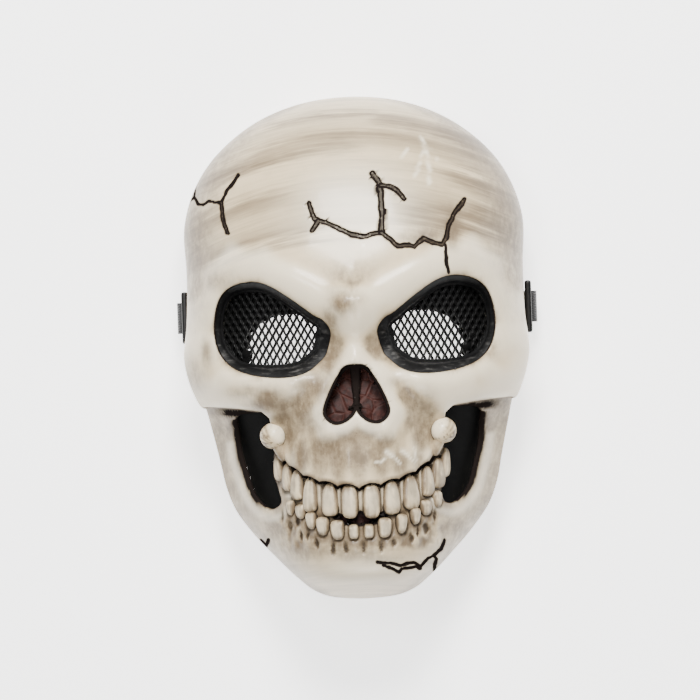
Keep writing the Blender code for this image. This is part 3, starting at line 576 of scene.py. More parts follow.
def normals_of(points, triangles):
    """Outward direction at each point of a mesh."""
    a, b, c = [points[triangles[:, k]] for k in range(3)]
    face = np.cross(b - a, c - a)
    total = np.zeros_like(points)
    for k in range(3):
        np.add.at(total, triangles[:, k], face)
    return total / np.maximum(np.linalg.norm(total, axis=1), 1e-18)[:, None]


def edge_roll(distance, radius):
    """How far the surface sinks as it comes to a rounded edge."""
    left = np.clip(1 - distance / radius, 0, 1)
    return radius * (1 - np.sqrt(1 - left ** 2))


def new_piece(name, points, triangles, paint=None, smooth=True):
    """A mesh object from arrays, with its paint layers as a colour attribute."""
    mesh = bpy.data.meshes.new(name)
    mesh.from_pydata([tuple(p) for p in points], [], [tuple(int(i) for i in t) for t in triangles])
    mesh.validate()
    if smooth:
        mesh.shade_smooth()
    if paint is not None:
        layer = mesh.attributes.new("paint", "FLOAT_COLOR", "POINT")
        layer.data.foreach_set("color", np.asarray(paint, np.float32).reshape(-1))
    made = bpy.data.objects.new(name, mesh)
    bpy.context.scene.collection.objects.link(made)
    return made


def solidify(made, thickness, inner_material=None):
    """Give a surface its wall, inwards."""
    solid = made.modifiers.new("Wall", "SOLIDIFY")
    solid.thickness = thickness
    solid.offset = -1
    if inner_material:
        made.data.materials.append(inner_material)
        solid.material_offset = 1


def keep(made, node=None):
    """Tie a piece to the body, and hide the imported part that it stands for."""
    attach(made, "root")
    if node:
        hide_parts(node)


# Materials

def make(tree, kind, inputs=None, **settings):
    """Add a shader node with its settings, and link or set its inputs."""
    made = tree.nodes.new(kind)
    for key, value in settings.items():
        setattr(made, key, value)
    for key, value in (inputs or {}).items():
        if isinstance(value, bpy.types.NodeSocket):
            tree.links.new(value, made.inputs[key])
        else:
            made.inputs[key].default_value = value
    return made


def math_node(tree, operation, a, b=0.0, clamp=False):
    """The result of one sum."""
    return make(tree, "ShaderNodeMath", {0: a, 1: b}, operation=operation, use_clamp=clamp).outputs[0]


def times(tree, a, b, clamp=False):
    """The product of two values."""
    return math_node(tree, "MULTIPLY", a, b, clamp)


def plus(tree, a, b):
    """The sum of two values."""
    return math_node(tree, "ADD", a, b)


def painted_layers(tree):
    """The four layers of the paint attribute."""
    paint = make(tree, "ShaderNodeAttribute", attribute_name="paint")
    layers = make(tree, "ShaderNodeSeparateColor", {0: paint.outputs["Color"]})
    return [*layers.outputs[:3], paint.outputs["Alpha"]]


def blend(tree, factor, a, b):
    """Mix two colours."""
    return make(tree, "ShaderNodeMix", {0: factor, 6: a, 7: b}, data_type="RGBA").outputs[2]


def ramp(tree, value, low, high):
    """Stretch a stretch of values to 0 to 1."""
    inputs = {"Value": value, "From Min": low, "From Max": high}
    return make(tree, "ShaderNodeMapRange", inputs, interpolation_type="SMOOTHSTEP").outputs[0]


def noise_at(tree, vector, scale, detail=4.0, rough=0.55, distortion=0.0):
    """Procedural noise with its scale per metre."""
    inputs = {"Vector": vector, "Scale": scale, "Detail": detail, "Roughness": rough,
              "Distortion": distortion}
    return make(tree, "ShaderNodeTexNoise", inputs).outputs["Fac"]


def new_material(name, **constants):
    """A material with its shader's plain values set on the shader itself."""
    made = bpy.data.materials.new(name)
    made.use_nodes = True
    shader = made.node_tree.nodes["Principled BSDF"]
    for key, value in constants.items():
        shader.inputs[key.replace("_", " ")].default_value = value
    place_node = made.node_tree.nodes.new("ShaderNodeTexCoord")
    return made, made.node_tree, shader, place_node.outputs["Object"]


def stretched(tree, place_socket, across, up, out, bow=0.0):
    """The place, stretched per axis; bow bends the rows of the pattern down at the sides."""
    split = make(tree, "ShaderNodeSeparateXYZ", {0: place_socket})
    bent = times(tree, times(tree, split.outputs[0], split.outputs[0]), bow)
    rows = plus(tree, split.outputs[1], bent)
    x = times(tree, split.outputs[0], across)
    y = times(tree, rows, up)
    z = times(tree, split.outputs[2], out)
    return make(tree, "ShaderNodeCombineXYZ", {0: x, 1: y, 2: z}).outputs[0]


def add_bump(tree, shader, value, strength, distance):
    """Fine relief from a pattern."""
    inputs = {"Strength": strength, "Distance": distance, "Height": value}
    bump = make(tree, "ShaderNodeBump", inputs)
    tree.links.new(bump.outputs[0], shader.inputs["Normal"])


IVORY = (0.70, 0.565, 0.360, 1)
IVORY_SHADE = (0.50, 0.385, 0.225, 1)
WASH = (0.065, 0.036, 0.018, 1)
INK = (0.012, 0.009, 0.008, 1)
# Light colour for painted highlights and for the plastic that the scratches lay open
BARE_AND_HIGHLIGHT = (0.94, 0.85, 0.67, 1)


# The wash thickens evenly up to the most that it may cover
STAIN_GAIN = 1.5
STAIN_MOST = 0.86


def bone_material():
    """Glossy ivory plastic with a brushed brown wash, dark lines, streaks, and light places that are painted
    highlights and scratches.
    """
    made, tree, shader, spot = new_material("bone_plastic", Coat_Weight=0.35, Coat_Roughness=0.12)
    wash, line, streak, highlight_and_bare = painted_layers(tree)
    rows = noise_at(tree, stretched(tree, spot, 0.04, 1.0, 0.04, 3.0), 150, 6.0, 0.62)
    fine_rows = noise_at(tree, stretched(tree, spot, 0.07, 1.0, 0.07, 3.0), 800, 3.0, 0.5)
    columns = noise_at(tree, stretched(tree, spot, 1.0, 0.38, 0.6), 480, 5.0, 0.65)
    cloud = noise_at(tree, spot, 60, 5.0, 0.6)
    grain = noise_at(tree, spot, 420, 4.0, 0.6)
    stroke = times(tree, ramp(tree, rows, 0.34, 0.66), streak)
    thin = times(tree, ramp(tree, fine_rows, 0.45, 0.72), streak)
    stroke = plus(tree, times(tree, stroke, 0.95), times(tree, thin, 0.30))
    blotch = noise_at(tree, spot, 120, 6.0, 0.65)
    pore = ramp(tree, noise_at(tree, spot, 900, 2.0, 0.5), 0.66, 0.74)
    patch = times(tree, ramp(tree, blotch, 0.25, 0.68), ramp(tree, columns, 0.18, 0.66))
    patch = plus(tree, times(tree, patch, 1.25), times(tree, pore, 0.5))
    patch = plus(tree, patch, 0.62)
    stain = times(tree, wash, patch)
    stain = times(tree, plus(tree, stain, stroke), STAIN_GAIN)
    stain = times(tree, math_node(tree, "TANH", stain), STAIN_MOST)
    base = blend(tree, times(tree, ramp(tree, cloud, 0.35, 0.75), 0.35), IVORY, IVORY_SHADE)
    base = blend(tree, times(tree, ramp(tree, grain, 0.55, 0.8), 0.18), base, IVORY_SHADE)
    base = blend(tree, stain, base, WASH)
    # Painted highlights, and the light plastic of the scratches, from the paint's fourth layer
    base = blend(tree, times(tree, highlight_and_bare, 0.8), base, BARE_AND_HIGHLIGHT)
    broken = times(tree, line, plus(tree, ramp(tree, grain, 0.2, 0.5), 0.85), True)
    base = blend(tree, broken, base, INK)
    tree.links.new(base, shader.inputs["Base Color"])
    rough = plus(tree, times(tree, stain, 0.22), 0.27)
    rough = plus(tree, rough, times(tree, grain, 0.08))
    rough = plus(tree, rough, times(tree, broken, 0.3))
    tree.links.new(rough, shader.inputs["Roughness"])
    matt = math_node(tree, "SUBTRACT", 1.0, broken)
    tree.links.new(times(tree, matt, 0.14), shader.inputs["Coat Weight"])
    tree.links.new(times(tree, matt, 0.30), shader.inputs["Specular IOR Level"])
    texture = plus(tree, times(tree, fine_rows, streak), grain)
    add_bump(tree, shader, texture, 0.12, 0.0004)
    return made


def black_material(name, roughness, tint, brush=0.0, grain_scale=700.0, bump=0.25, **extra):
    """Black plastic, paint or foam, with a grey dry brush where it is asked for."""
    made, tree, shader, spot = new_material(name, **extra)
    grain = noise_at(tree, spot, grain_scale, 5.0, 0.6)
    smear = noise_at(tree, stretched(tree, spot, 0.25, 1.0, 0.4), 500, 5.0, 0.65)
    shade = blend(tree, ramp(tree, grain, 0.4, 0.75), (*[c * 0.6 for c in tint], 1), (*tint, 1))
    grey = times(tree, ramp(tree, smear, 0.50, 0.72), brush)
    if brush:
        grey = times(tree, grey, painted_layers(tree)[0])
    shade = blend(tree, grey, shade, (0.085, 0.082, 0.078, 1))
    tree.links.new(shade, shader.inputs["Base Color"])
    rough = plus(tree, times(tree, grain, 0.2), roughness - 0.1)
    tree.links.new(rough, shader.inputs["Roughness"])
    add_bump(tree, shader, grain, bump, 0.0004)
    return made


def liner_material():
    """Creased dark red-brown sheet."""
    made, tree, shader, spot = new_material("dark_red_liner", Roughness=0.6, Specular_IOR_Level=0.2)
    cells = make(tree, "ShaderNodeTexVoronoi", {"Vector": spot, "Scale": 120.0},
                 feature="DISTANCE_TO_EDGE").outputs[0]
    grain = noise_at(tree, spot, 260, 5.0, 0.6, 0.5)
    crease = ramp(tree, cells, 0.0, 0.10)
    shade = blend(tree, ramp(tree, grain, 0.3, 0.75), (0.014, 0.0035, 0.0025, 1), (0.042, 0.010, 0.007, 1))
    light_crease = plus(tree, times(tree, crease, 0.45), 0.55)
    shade = blend(tree, light_crease, (0.060, 0.018, 0.013, 1), shade)
    split = make(tree, "ShaderNodeSeparateXYZ", {0: spot})
    mouth = ramp(tree, times(tree, split.outputs[1], -1.0), 0.055, 0.070)
    shade = blend(tree, mouth, shade, (0.016, 0.005, 0.004, 1))
    tree.links.new(shade, shader.inputs["Base Color"])
    add_bump(tree, shader, plus(tree, grain, crease), 0.5, 0.0008)
    return made


def webbing_material():
    """Black woven elastic: ribs across and fine threads."""
    made, tree, shader, spot = new_material("black_webbing", Roughness=0.85, Sheen_Weight=0.3)
    travelled, width_share = painted_layers(tree)[:2]
    ribs = math_node(tree, "SINE", times(tree, travelled, 1400.0))
    threads = math_node(tree, "SINE", times(tree, width_share, 80.0))
    weave = times(tree, ribs, threads)
    grain = noise_at(tree, spot, 1600, 3.0, 0.6)
    shade = blend(tree, ramp(tree, plus(tree, weave, grain), -0.4, 1.6),
                  (0.006, 0.006, 0.007, 1), (0.035, 0.035, 0.037, 1))
    tree.links.new(shade, shader.inputs["Base Color"])
    add_bump(tree, shader, plus(tree, weave, grain), 0.6, 0.0003)
    return made


def inside_material():
    """Bare plastic of the inner face, dark where the cracks come through."""
    made, tree, shader, spot = new_material("inside_plastic", Roughness=0.5)
    grain = noise_at(tree, spot, 40, 5.0)
    cracks = painted_layers(tree)[1]
    shade = blend(tree, grain, (0.60, 0.56, 0.48, 1), (0.70, 0.66, 0.58, 1))
    shade = blend(tree, ramp(tree, cracks, 0.2, 0.6), shade, INK)
    tree.links.new(shade, shader.inputs["Base Color"])
    add_bump(tree, shader, grain, 0.2, 0.0005)
    return made


BONE = bone_material()
FRAME_BLACK = black_material("frame_black", 0.45, (0.006, 0.006, 0.0062), brush=0.9, Specular_IOR_Level=0.3)
MESH_BLACK = black_material("mesh_black", 0.45, (0.004, 0.004, 0.004), grain_scale=1500.0, bump=0.15,
                            Specular_IOR_Level=0.25)
PANEL_BLACK = black_material("panel_black", 0.9, (0.0022, 0.0022, 0.0022), bump=0.2, Specular_IOR_Level=0.12)
FOAM_BLACK = black_material("foam_black", 0.95, (0.004, 0.004, 0.004), grain_scale=1300.0, bump=0.9,
                            Specular_IOR_Level=0.1)
SLIDER_BLACK = black_material("slider_black", 0.45, (0.008, 0.008, 0.0085), Specular_IOR_Level=0.3)
LINER_RED = liner_material()
WEBBING = webbing_material()
INSIDE = inside_material()


# Shared outlines in metres

def gum_line():
    """The scalloped edge from the middle of the gum to the side, in metres."""
    line = []
    for first, second in zip(GUM, GUM[1:]):
        for t in np.arange(8) / 8:
            across = first.cusp_across * (1 - t) + second.cusp_across * t
            up = first.cusp_up * (1 - t) + second.cusp_up * t + first.arch * math.sin(math.pi * t) ** 0.7
            line.append((across, up))
    line.append((GUM[-1].cusp_across, GUM[-1].cusp_up))
    return place(line)


eye_rim = smooth_loop([(e.across * HALF_WIDTH, e.up * HALF_HEIGHT) for e in EYE], 10)
eye_band = smooth_loop([(e.band * HALF_WIDTH, 0) for e in EYE], 10)[:, 0]
eye_sight = grow(eye_rim, -eye_band)
nose_loop = grow(smooth_loop(place(NOSE)), -NOSE_INSET)
nose_arch = smooth_loop(mirrored(place(NOSE_ARCH)), 4)
mouth_loop = mirrored(place(MOUTH))
cheek_loop = smooth_loop(place(CHEEK))
gum = gum_line()
under_skull = mirrored(gum + place(CHEEK_EDGE) + [(1.2 * HALF_WIDTH, -1.2 * HALF_HEIGHT)])
over_jaw = mirrored(place(JAW_TOP) + [(1.2 * HALF_WIDTH, 1.2 * HALF_HEIGHT)])
crack_lines = [(crack.width * CRACK_HALF, place(crack.line)) for crack in CRACKS]


def wavy(x, y, size=0.0007):
    """Points shifted a little, so that drawn lines waver as a brush does."""
    shift = [(layered_noise(x * 260, y * 260, seed) - 0.5) * 2 * size for seed in (3, 9)]
    return x + shift[0], y + shift[1]


def crack_channels(x, y, z):
    """Depth of the engraved cracks, and the dark paint along their two sides, clear of the walls."""
    x, y = wavy(x, y)
    high = fade(z, CRACK_FOOT, CRACK_FOOT + 0.012)
    depth = np.zeros(np.shape(x))
    dark = np.zeros(np.shape(x))
    for half, line in crack_lines:
        uneven = half * (0.75 + 0.6 * layered_noise(x * 240, y * 240, 17))
        near = distance_to_line(x, y, line)
        depth = np.maximum(depth, 1 - fade(near, 0.5 * uneven, 1.35 * uneven))
        sides = np.exp(-((near - 0.85 * uneven) / (0.00022 + 0.22 * uneven)) ** 2)
        middle = (0.95 if half < 0.65 * CRACK_HALF else 0.50) * (1 - fade(near, 0.5 * uneven, uneven))
        dark = np.maximum(np.maximum(dark * fade(near, 0.3 * uneven, uneven), middle), sides)
    return depth * high, dark * high


def stain_strength(x, y):
    """How much brown wash, with painted shade under the eyes and cheekbones among it, lies at each point."""
    total = np.zeros(np.shape(x))
    for stain in STAINS:
        across = (x / HALF_WIDTH - stain.across) / stain.wide
        up = (y / HALF_HEIGHT - stain.up) / stain.tall
        total = np.maximum(total, stain.strength * np.exp(-(across ** 2 + up ** 2)))
    return total


def cavity(x, y, ridges):
    """How far each point lies in a hollow of the raised forms, and how far on a ridge."""
    reach = 0.0085
    around = 0
    for turn in np.arange(8) * math.pi / 4:
        around = around + relief(x + reach * math.cos(turn), y + reach * math.sin(turn), ridges) / 8
    fall = (around - relief(x, y, ridges)) / 0.0009
    return np.clip(fall, 0, 1), np.clip(-fall, 0, 1)


def stroke_strength(x, y):
    """How strongly the brushed arcs show at each point."""
    total = np.zeros(np.shape(x))
    across = x / HALF_WIDTH
    for stroke in STROKES:
        arc = stroke.up * HALF_HEIGHT - stroke.bend * x ** 2
        near = (y - arc) / (stroke.half * HALF_HEIGHT)
        ends = fade(across, stroke.start, stroke.start + 0.25)
        ends = ends * fade_out(across, stroke.end - 0.25, stroke.end)
        total = np.maximum(total, stroke.strength * ends * np.exp(-near ** 2))
    return total


def scratch_strength(x, y):
    """How far the plastic lies open along the scratches."""
    total = np.zeros(np.shape(x))
    for half, line in SCRATCHES:
        near = distance_to_line(*wavy(x, y), place(line)) / half
        total = np.maximum(total, np.exp(-near ** 2))
    return total


def paint_layers(wash, line=0.0, streak=0.0, highlight_and_bare=0.0):
    """The colour attribute's four layers, one row for each point; the last holds painted highlights and
    scratches.
    """
    return np.stack([np.clip(layer + 0 * wash, 0, 1) for layer in (wash, line, streak, highlight_and_bare)], -1)


def skull_region(x, y):
    """Positive where the upper moulding has material."""
    openings = np.minimum(either_side(x, y, eye_rim), either_side(x, y, nose_loop))
    return np.minimum(outside_distance(x, y, under_skull), openings)


def jaw_region(x, y):
    """Positive where the jaw moulding has material."""
    openings = np.minimum(outside_distance(x, y, mouth_loop), either_side(x, y, cheek_loop))
    return np.minimum(outside_distance(x, y, over_jaw), openings)


def tooth_field(x, y):
    """Sharp and soft shade round the foot of each tooth, and the ridges between the upper ones."""
    ring = np.zeros(np.shape(x))
    broad = np.zeros(np.shape(x))
    between = np.zeros(np.shape(x))
    for tooth in TEETH:
        across = np.abs(x / HALF_WIDTH - tooth.across) / tooth.half_width
        up = np.abs(y / HALF_HEIGHT - tooth.up) / tooth.half_height
        reach = (across ** 3.2 + up ** 3.2) ** (1 / 3.2)
        off = (reach - 1.03) * tooth.half_width * HALF_WIDTH
        ring = np.maximum(ring, np.exp(-(off / 0.0005) ** 2))
        broad = np.maximum(broad, np.exp(-(off / 0.0022) ** 2))
    upper = sorted((tooth for tooth in TEETH if tooth.upper), key=lambda tooth: tooth.across)
    for one, two in zip(upper, upper[1:]):
        middle = (one.across + one.half_width + two.across - two.half_width) / 2
        top = (one.up + two.up) / 2
        gap = (two.across - two.half_width - one.across - one.half_width) * HALF_WIDTH
        beside = (x / HALF_WIDTH - middle) * HALF_WIDTH / max(0.0009, 0.5 * gap)
        along = fade(y / HALF_HEIGHT - top, -0.052, -0.012)
        between = np.maximum(between, np.exp(-beside ** 2) * along)
    return ring, broad * (1 - 0.6 * between), between


def near_a_crack(x, y):
    """True where the mesh has to be fine enough for an engraved crack."""
    return np.min([distance_to_line(x, y, line) for _, line in crack_lines], axis=0) < NEAR_CRACK


def skull_wanted(x, y):
    """Length of edge that the upper moulding's detail calls for."""
    near_edge = np.abs(skull_region(x, y))
    wanted = np.where(y < -0.3 * HALF_HEIGHT, 0.0016, COARSE_EDGE)
    wanted = np.where(near_edge < NEAR_EDGE, 0.0008, wanted)
    by_nose = (np.abs(x) < 0.24 * HALF_WIDTH) & (y < -0.04 * HALF_HEIGHT) & (near_edge < 0.0036)
    return np.where(near_a_crack(x, y) | by_nose, FINE_EDGE, wanted)


def jaw_wanted(x, y):
    """Length of edge that the jaw moulding's detail calls for."""
    mouth = (np.abs(x) < 0.52 * HALF_WIDTH) & (y > -0.83 * HALF_HEIGHT)
    wanted = np.where(mouth, MOUTH_EDGE, COARSE_EDGE)
    wanted = np.where(np.abs(jaw_region(x, y)) < NEAR_EDGE, 0.0009, wanted)
    return np.where(near_a_crack(x, y), FINE_EDGE, wanted)


# Rounds of refinement
PASSES = 3


def shell_surface(form, region, wanted, passes=PASSES):
    """The base form's mesh, refined for detail and trimmed to its region."""
    data, triangles = start_grid(form)
    keep_rows = region(data[:, 0], data[:, 1]) > -0.006
    triangles = triangles[keep_rows[triangles].any(1)]
    data, triangles = weld(data, triangles)
    for _ in range(passes):
        data, triangles = refine(data, triangles, wanted, form)
    return clip(data, triangles, region, form)


def hand_work(x, y):
    """Slow unevenness of a surface that was shaped by hand."""
    return UNEVENNESS * (layered_noise(x * 45, y * 45, 31) - 0.5)


def flank_share(x, y, form):
    """How far out each point lies towards the side of its form."""
    return np.abs(x) / np.maximum(width_at(y, form), 0.001)


def keep_moulding(name, node, points, triangles, paint):
    """One of the two mouldings: bone outside, unpainted plastic inside."""
    made = new_piece(name, points, triangles, paint)
    made.data.materials.append(BONE)
    solidify(made, WALL, INSIDE)
    keep(made, node)


# Upper moulding: u and v are shares of the half width and half height, beside is u without its sign
data, triangles = shell_surface(SKULL_FORM, skull_region, skull_wanted)
x, y = data[:, 0], data[:, 1]
u, v = x / HALF_WIDTH, y / HALF_HEIGHT
beside = np.abs(u)
face = 1 - data[:, 3]
septum = fade_out(outside_distance(x, y, nose_arch), -0.0002, 0.0010)
roots = np.zeros(np.shape(x))
for tooth in TEETH:
    if tooth.upper:
        off = (u - tooth.across) / (0.75 * tooth.half_width)
        over = v - tooth.up - 1.1 * tooth.half_height
        roots += np.exp(-off ** 2) * fade(over, -0.05, 0.02) * fade_out(over, 0.05, 0.20)
channel, cracks = crack_channels(x, y, data[:, 2])
raised = relief(x, y, SKULL_RIDGES) + ROOT_SWELL * roots - CRACK_DEPTH * channel + hand_work(x, y)
points = data[:, :3].copy()
points[:, 2] += raised * face - SEPTUM_DROP * septum
low_edge = outside_distance(x, y, under_skull)
nose_edge = either_side(x, y, nose_loop)
eye_edge = either_side(x, y, eye_rim)
cheek_share = fade(beside, 0.46, 0.58) * fade_out(beside, 0.88, 1.0)
roll = edge_roll(skull_region(x, y), EDGE_ROUND) + 0.8 * edge_roll(low_edge, CHEEK_ROUND) * cheek_share
roll += 0.3 * edge_roll(nose_edge, NOSE_ROUND)
points -= normals_of(points, triangles) * roll[:, None]

# Dark lines, with a painted shadow where the lower edge laps over the jaw; then the wash, darker towards the
# sides as airbrushed wash and painted shade both; the brushed streaks; and the light places: painted
# highlights on the ridges, the forehead and round the nose, and the scratches
# Painted shadow: a dark line along the lower edge, where the upper moulding laps over the jaw
lap_shadow_line = fade_out(low_edge, 0.0002, 0.0010) * (v < -0.2) * (beside < 0.9)
line = strongest(0.95 * cracks, septum, fade_out(nose_edge, 0.0018, 0.0030),
                 0.9 * fade_out(eye_edge, 0.0001, 0.0010), 0.9 * lap_shadow_line)
gum_part = (beside < 0.5) & (v < -0.24)
hollow, ridge = cavity(x, y, SKULL_RIDGES)
wash = strongest(0.60 * hollow * fade(-v, -0.40, -0.20),
                 # Darker towards the sides of the dome: airbrushed wash and painted shade both
                 0.42 * fade(flank_share(x, y, SKULL_FORM), 0.70, 1.0) * fade(v, -0.15, 0.25),
                 0.5 * fade_out(eye_edge, 0.0, 0.0035), 0.7 * fade_out(low_edge, 0.0, 0.005) * gum_part,
                 0.9 * channel, 0.45 * fade_out(nose_edge, 0.001, 0.004))
# Painted highlight on the ridges: the wash thins there
wash *= 1 - 0.55 * ridge * (v > -0.40)
wash = np.maximum(wash, stain_strength(x, y))
wash = np.maximum(wash - 0.35 * roots * gum_part * fade(low_edge, 0.001, 0.003), 0)
brow_line = 0.30 + 0.05 * np.cos(3 * u)
streak = fade(v, brow_line, brow_line + 0.14) * (0.30 + 1.35 * stroke_strength(x, y))
# Painted highlight on the forehead, and a painted highlight round the lower rim of the nose
shine = np.exp(-((u - 0.02) / 0.30) ** 2 - ((v - 0.56) / 0.17) ** 2)
nose_shine = np.exp(-((nose_edge - 0.0052) / 0.0024) ** 2) * (v < -0.22)
# Light places: painted highlights on ridges, forehead and nose, and the scratches
light = strongest(0.70 * ridge * (1 - np.clip(1.5 * wash, 0, 1)), 0.75 * shine, 0.8 * nose_shine,
                  scratch_strength(x, y))
keep_moulding("skull_moulding", "skull_shell", points, triangles, paint_layers(wash, line, streak, light))

# Jaw moulding
data, triangles = shell_surface(JAW_FORM, jaw_region, jaw_wanted)
x, y = data[:, 0], data[:, 1]
u, v = x / HALF_WIDTH, y / HALF_HEIGHT
beside = np.abs(u)
face = 1 - data[:, 3]
ring, broad, between = tooth_field(x, y)
root = np.zeros(np.shape(x))
near_x, near_y = wavy(x, y, 0.0009)
for pit in ROOTS:
    off = np.hypot((near_x / HALF_WIDTH - pit.across) / pit.half_width,
                   (near_y / HALF_HEIGHT - pit.up) / pit.half_height)
    root = np.maximum(root, fade_out(off, 0.45, 1.2))
knobbly = fade(v, -0.815, -0.775) * fade_out(v, -0.70, -0.64) * fade_out(beside, 0.42, 0.52)
nodules = layered_noise(x * 260, y * 170, 41, 3) - 0.5
channel, cracks = crack_channels(x, y, data[:, 2])
gap_edge = either_side(x, y, cheek_loop)
raised = relief(x, y, JAW_RIDGES) + hand_work(x, y) + RIDGE_RISE * between + ROOT_BAND_RISE * knobbly
raised += NODULES_HIGH * knobbly * nodules - TOOTH_GROOVE * ring - PIT_DEPTH * root - CRACK_DEPTH * channel
raised += GAP_LIP_RISE * np.exp(-((gap_edge - 0.003) / 0.003) ** 2)
points = data[:, :3].copy()
points[:, 2] += raised * face
points -= normals_of(points, triangles) * edge_roll(jaw_region(x, y), EDGE_ROUND)[:, None]

# Dark lines, with painted shadow under the upper moulding's edge along the gums and cheekbones; then the
# wash, with painted shade under these edges and towards the sides; and the light places, which are painted
# highlights
# Distances to the upper moulding's edges, which lay the painted shadow on the jaw
gum_near = distance_to_line(np.abs(x), y, gum)
cheek_near = distance_to_line(np.abs(x), y, place(CHEEK_EDGE))
inner_side = (beside > 0.55) & (v < -0.27)
outer_rim = fade(beside + 0.35 * (v + 0.6), 0.56, 0.62) * (v < -0.27)
rim_noise = 0.6 + 0.8 * layered_noise(x * 380, y * 160, 23)
line = strongest(cracks, 0.42 * root ** 2, 0.32 * ring,
                 0.9 * fade_out(outside_distance(x, y, mouth_loop), 0.0004, 0.0014),
                 np.where(inner_side, 0.85, 0.5) * fade_out(gap_edge, 0.0003, 0.0014),
                 # Painted shadow lines under the upper moulding's edge, along the gums and under the
                 # cheekbones
                 0.8 * fade_out(gum_near, 0.0003, 0.0012),
                 0.85 * fade_out(cheek_near, 0.0008, 0.0026) * (beside > 0.45) * fade_out(beside, 0.72, 0.86),
                 0.85 * fade_out(gap_edge / rim_noise, 0.0008, 0.0032) * outer_rim)
wash = strongest(stain_strength(x, y), 0.6 * fade_out(gap_edge, 0.0, 0.0035) * inner_side,
                 # Painted shade under the cheekbones' edge
                 0.75 * fade_out(cheek_near, 0.0, 0.009),
                 # Darker towards the sides of the jaw: airbrushed wash and painted shade both
                 0.45 * fade(flank_share(x, y, JAW_FORM), 0.66, 1.0),
                 0.6 * fade(beside, 0.42, 0.50) * knobbly, broad, root,
                 knobbly * np.clip(0.35 - 3.2 * nodules, 0, 1),
                 # Painted shade under the gum edge
                 0.8 * fade_out(gum_near, 0.0, 0.004) * (v < -0.35), 0.9 * channel)
# Painted highlights on the chin, on the lip round the cheek gaps and on the ridges between the teeth
chin_shine = np.exp(-(u / 0.34) ** 2 - ((v + 0.89) / 0.06) ** 2)
lip_shine = np.exp(-((gap_edge - 0.0052) / 0.0022) ** 2) * (v < -0.35)
light = strongest(0.8 * chin_shine, 0.25 * between, 0.6 * lip_shine)
paint = paint_layers(wash, line, 0.12 + 0.25 * (v < -0.85), light)
keep_moulding("jaw_moulding", "jaw_shell", points, triangles, paint)


# Teeth and knobs: rounded bodies set square to the surface

def surface_frame(x, y, form=SKULL_FORM):
    """Point of the base form, with its directions across, up and out."""
    step = 1e-4
    z = float(height(x, y, form))
    across = Vector((step, 0, float(height(x + step, y, form)) - z)).normalized()
    up = Vector((0, step, float(height(x, y + step, form)) - z))
    up = (up - across * up.dot(across)).normalized()
    return np.array([x, y, z]), np.array(across), np.array(up), np.array(across.cross(up))


def round_body(sides, rings):
    """Unit directions and triangles of a ball, with its poles up and down."""
    turn = np.linspace(0, 2 * math.pi, sides, endpoint=False)
    tilt = np.linspace(-math.pi / 2, math.pi / 2, rings + 1)
    t, p = np.meshgrid(turn, tilt)
    unit = np.stack([np.cos(p) * np.cos(t), np.sin(p), np.cos(p) * np.sin(t)], -1).reshape(-1, 3)
    triangles = grid_triangles(rings + 1, sides, closed=True, flipped=True)
    return weld(np.concatenate([unit, np.ones((len(unit), 1))], 1), triangles)


def power(value, share):
    """Signed power, which fills out or hollows a round form."""
    return np.sign(value) * np.abs(value) ** share


def join_bodies(name, bodies):
    """One piece from several bodies of points, triangles and paint."""
    starts = np.cumsum([0] + [len(points) for points, _, _ in bodies])
    points = np.concatenate([points for points, _, _ in bodies])
    triangles = np.concatenate([t + start for (_, t, _), start in zip(bodies, starts)])
    made = new_piece(name, points, triangles, np.concatenate([paint for _, _, paint in bodies]))
    made.data.materials.append(BONE)
    return made


def tooth_body(tooth, number):
    """A crown that is widest near its biting edge, with a stained neck, painted shade on its sides and its
    outer half, and a painted highlight on its front.
    """
    unit, triangles = round_body(36, 26)
    a, b, c = power(unit[:, 0], 0.62), power(unit[:, 1], 0.66), power(unit[:, 2], 0.75)
    toward_gum = b if tooth.upper else -b
    leaf = fade(abs(tooth.across), 0.10, 0.20)
    wide = 1.02 - (0.06 + 0.20 * leaf) * toward_gum - (0.04 + 0.08 * leaf) * toward_gum ** 2
    x, y = place([(tooth.across, tooth.up)])[0]
    middle, across, up, out = surface_frame(x, y)
    half = 1.06 * tooth.half_width * HALF_WIDTH / max(across[0], 0.5)
    tall = tooth.half_height * HALF_HEIGHT / max(up[1], 0.5)
    ridges = 1 + 0.05 * np.sin(a * 7 + number) * (c > 0)
    bump = 1 + 0.06 * (layered_noise(a * 3 + number, b * 4, number) - 0.5)
    rise = 0.0031 if tooth.upper else 0.0027
    lift = middle - out * 0.0015
    points = lift + np.outer(a * wide * half, across) + np.outer(b * tall * bump, up)
    points += np.outer(c * rise * ridges * (1 - 0.15 * toward_gum), out)
    neck = fade(toward_gum, 0.30, 1.0)
    # Painted shade on the crown's sides
    side = fade(np.abs(a), 0.62, 1.0)
    tip = fade(-toward_gum, 0.75, 1.0)
    speck = layered_noise(a * 2 + 7 * number, b * 1.5, 50 + number)
    outer = fade(abs(tooth.across), 0.15, 0.45)
    grooves = fade(layered_noise(a * 3.5 + 5 * number, b * 0.7, 90 + number), 0.52, 0.75)
    # Painted shade on the half of the crown away from the middle of the face
    facet = fade(a * (1 if tooth.across > 0 else -1), 0.05, 0.55)
    wash = 0.45 * neck + (0.6 + 0.3 * outer) * side + 0.35 * tip + 0.9 * (speck - 0.40) + 0.4 * grooves
    wash += (0.12 + 0.35 * outer) * facet + 0.10
    line = 0.45 * fade_out(c, 0.08, 0.36)
    # Painted highlight on the front of the crown
    light = 0.35 * fade(c, 0.75, 1.0) * (1 - 0.5 * outer)
    return points, triangles, paint_layers(wash, line, 0.0, light)


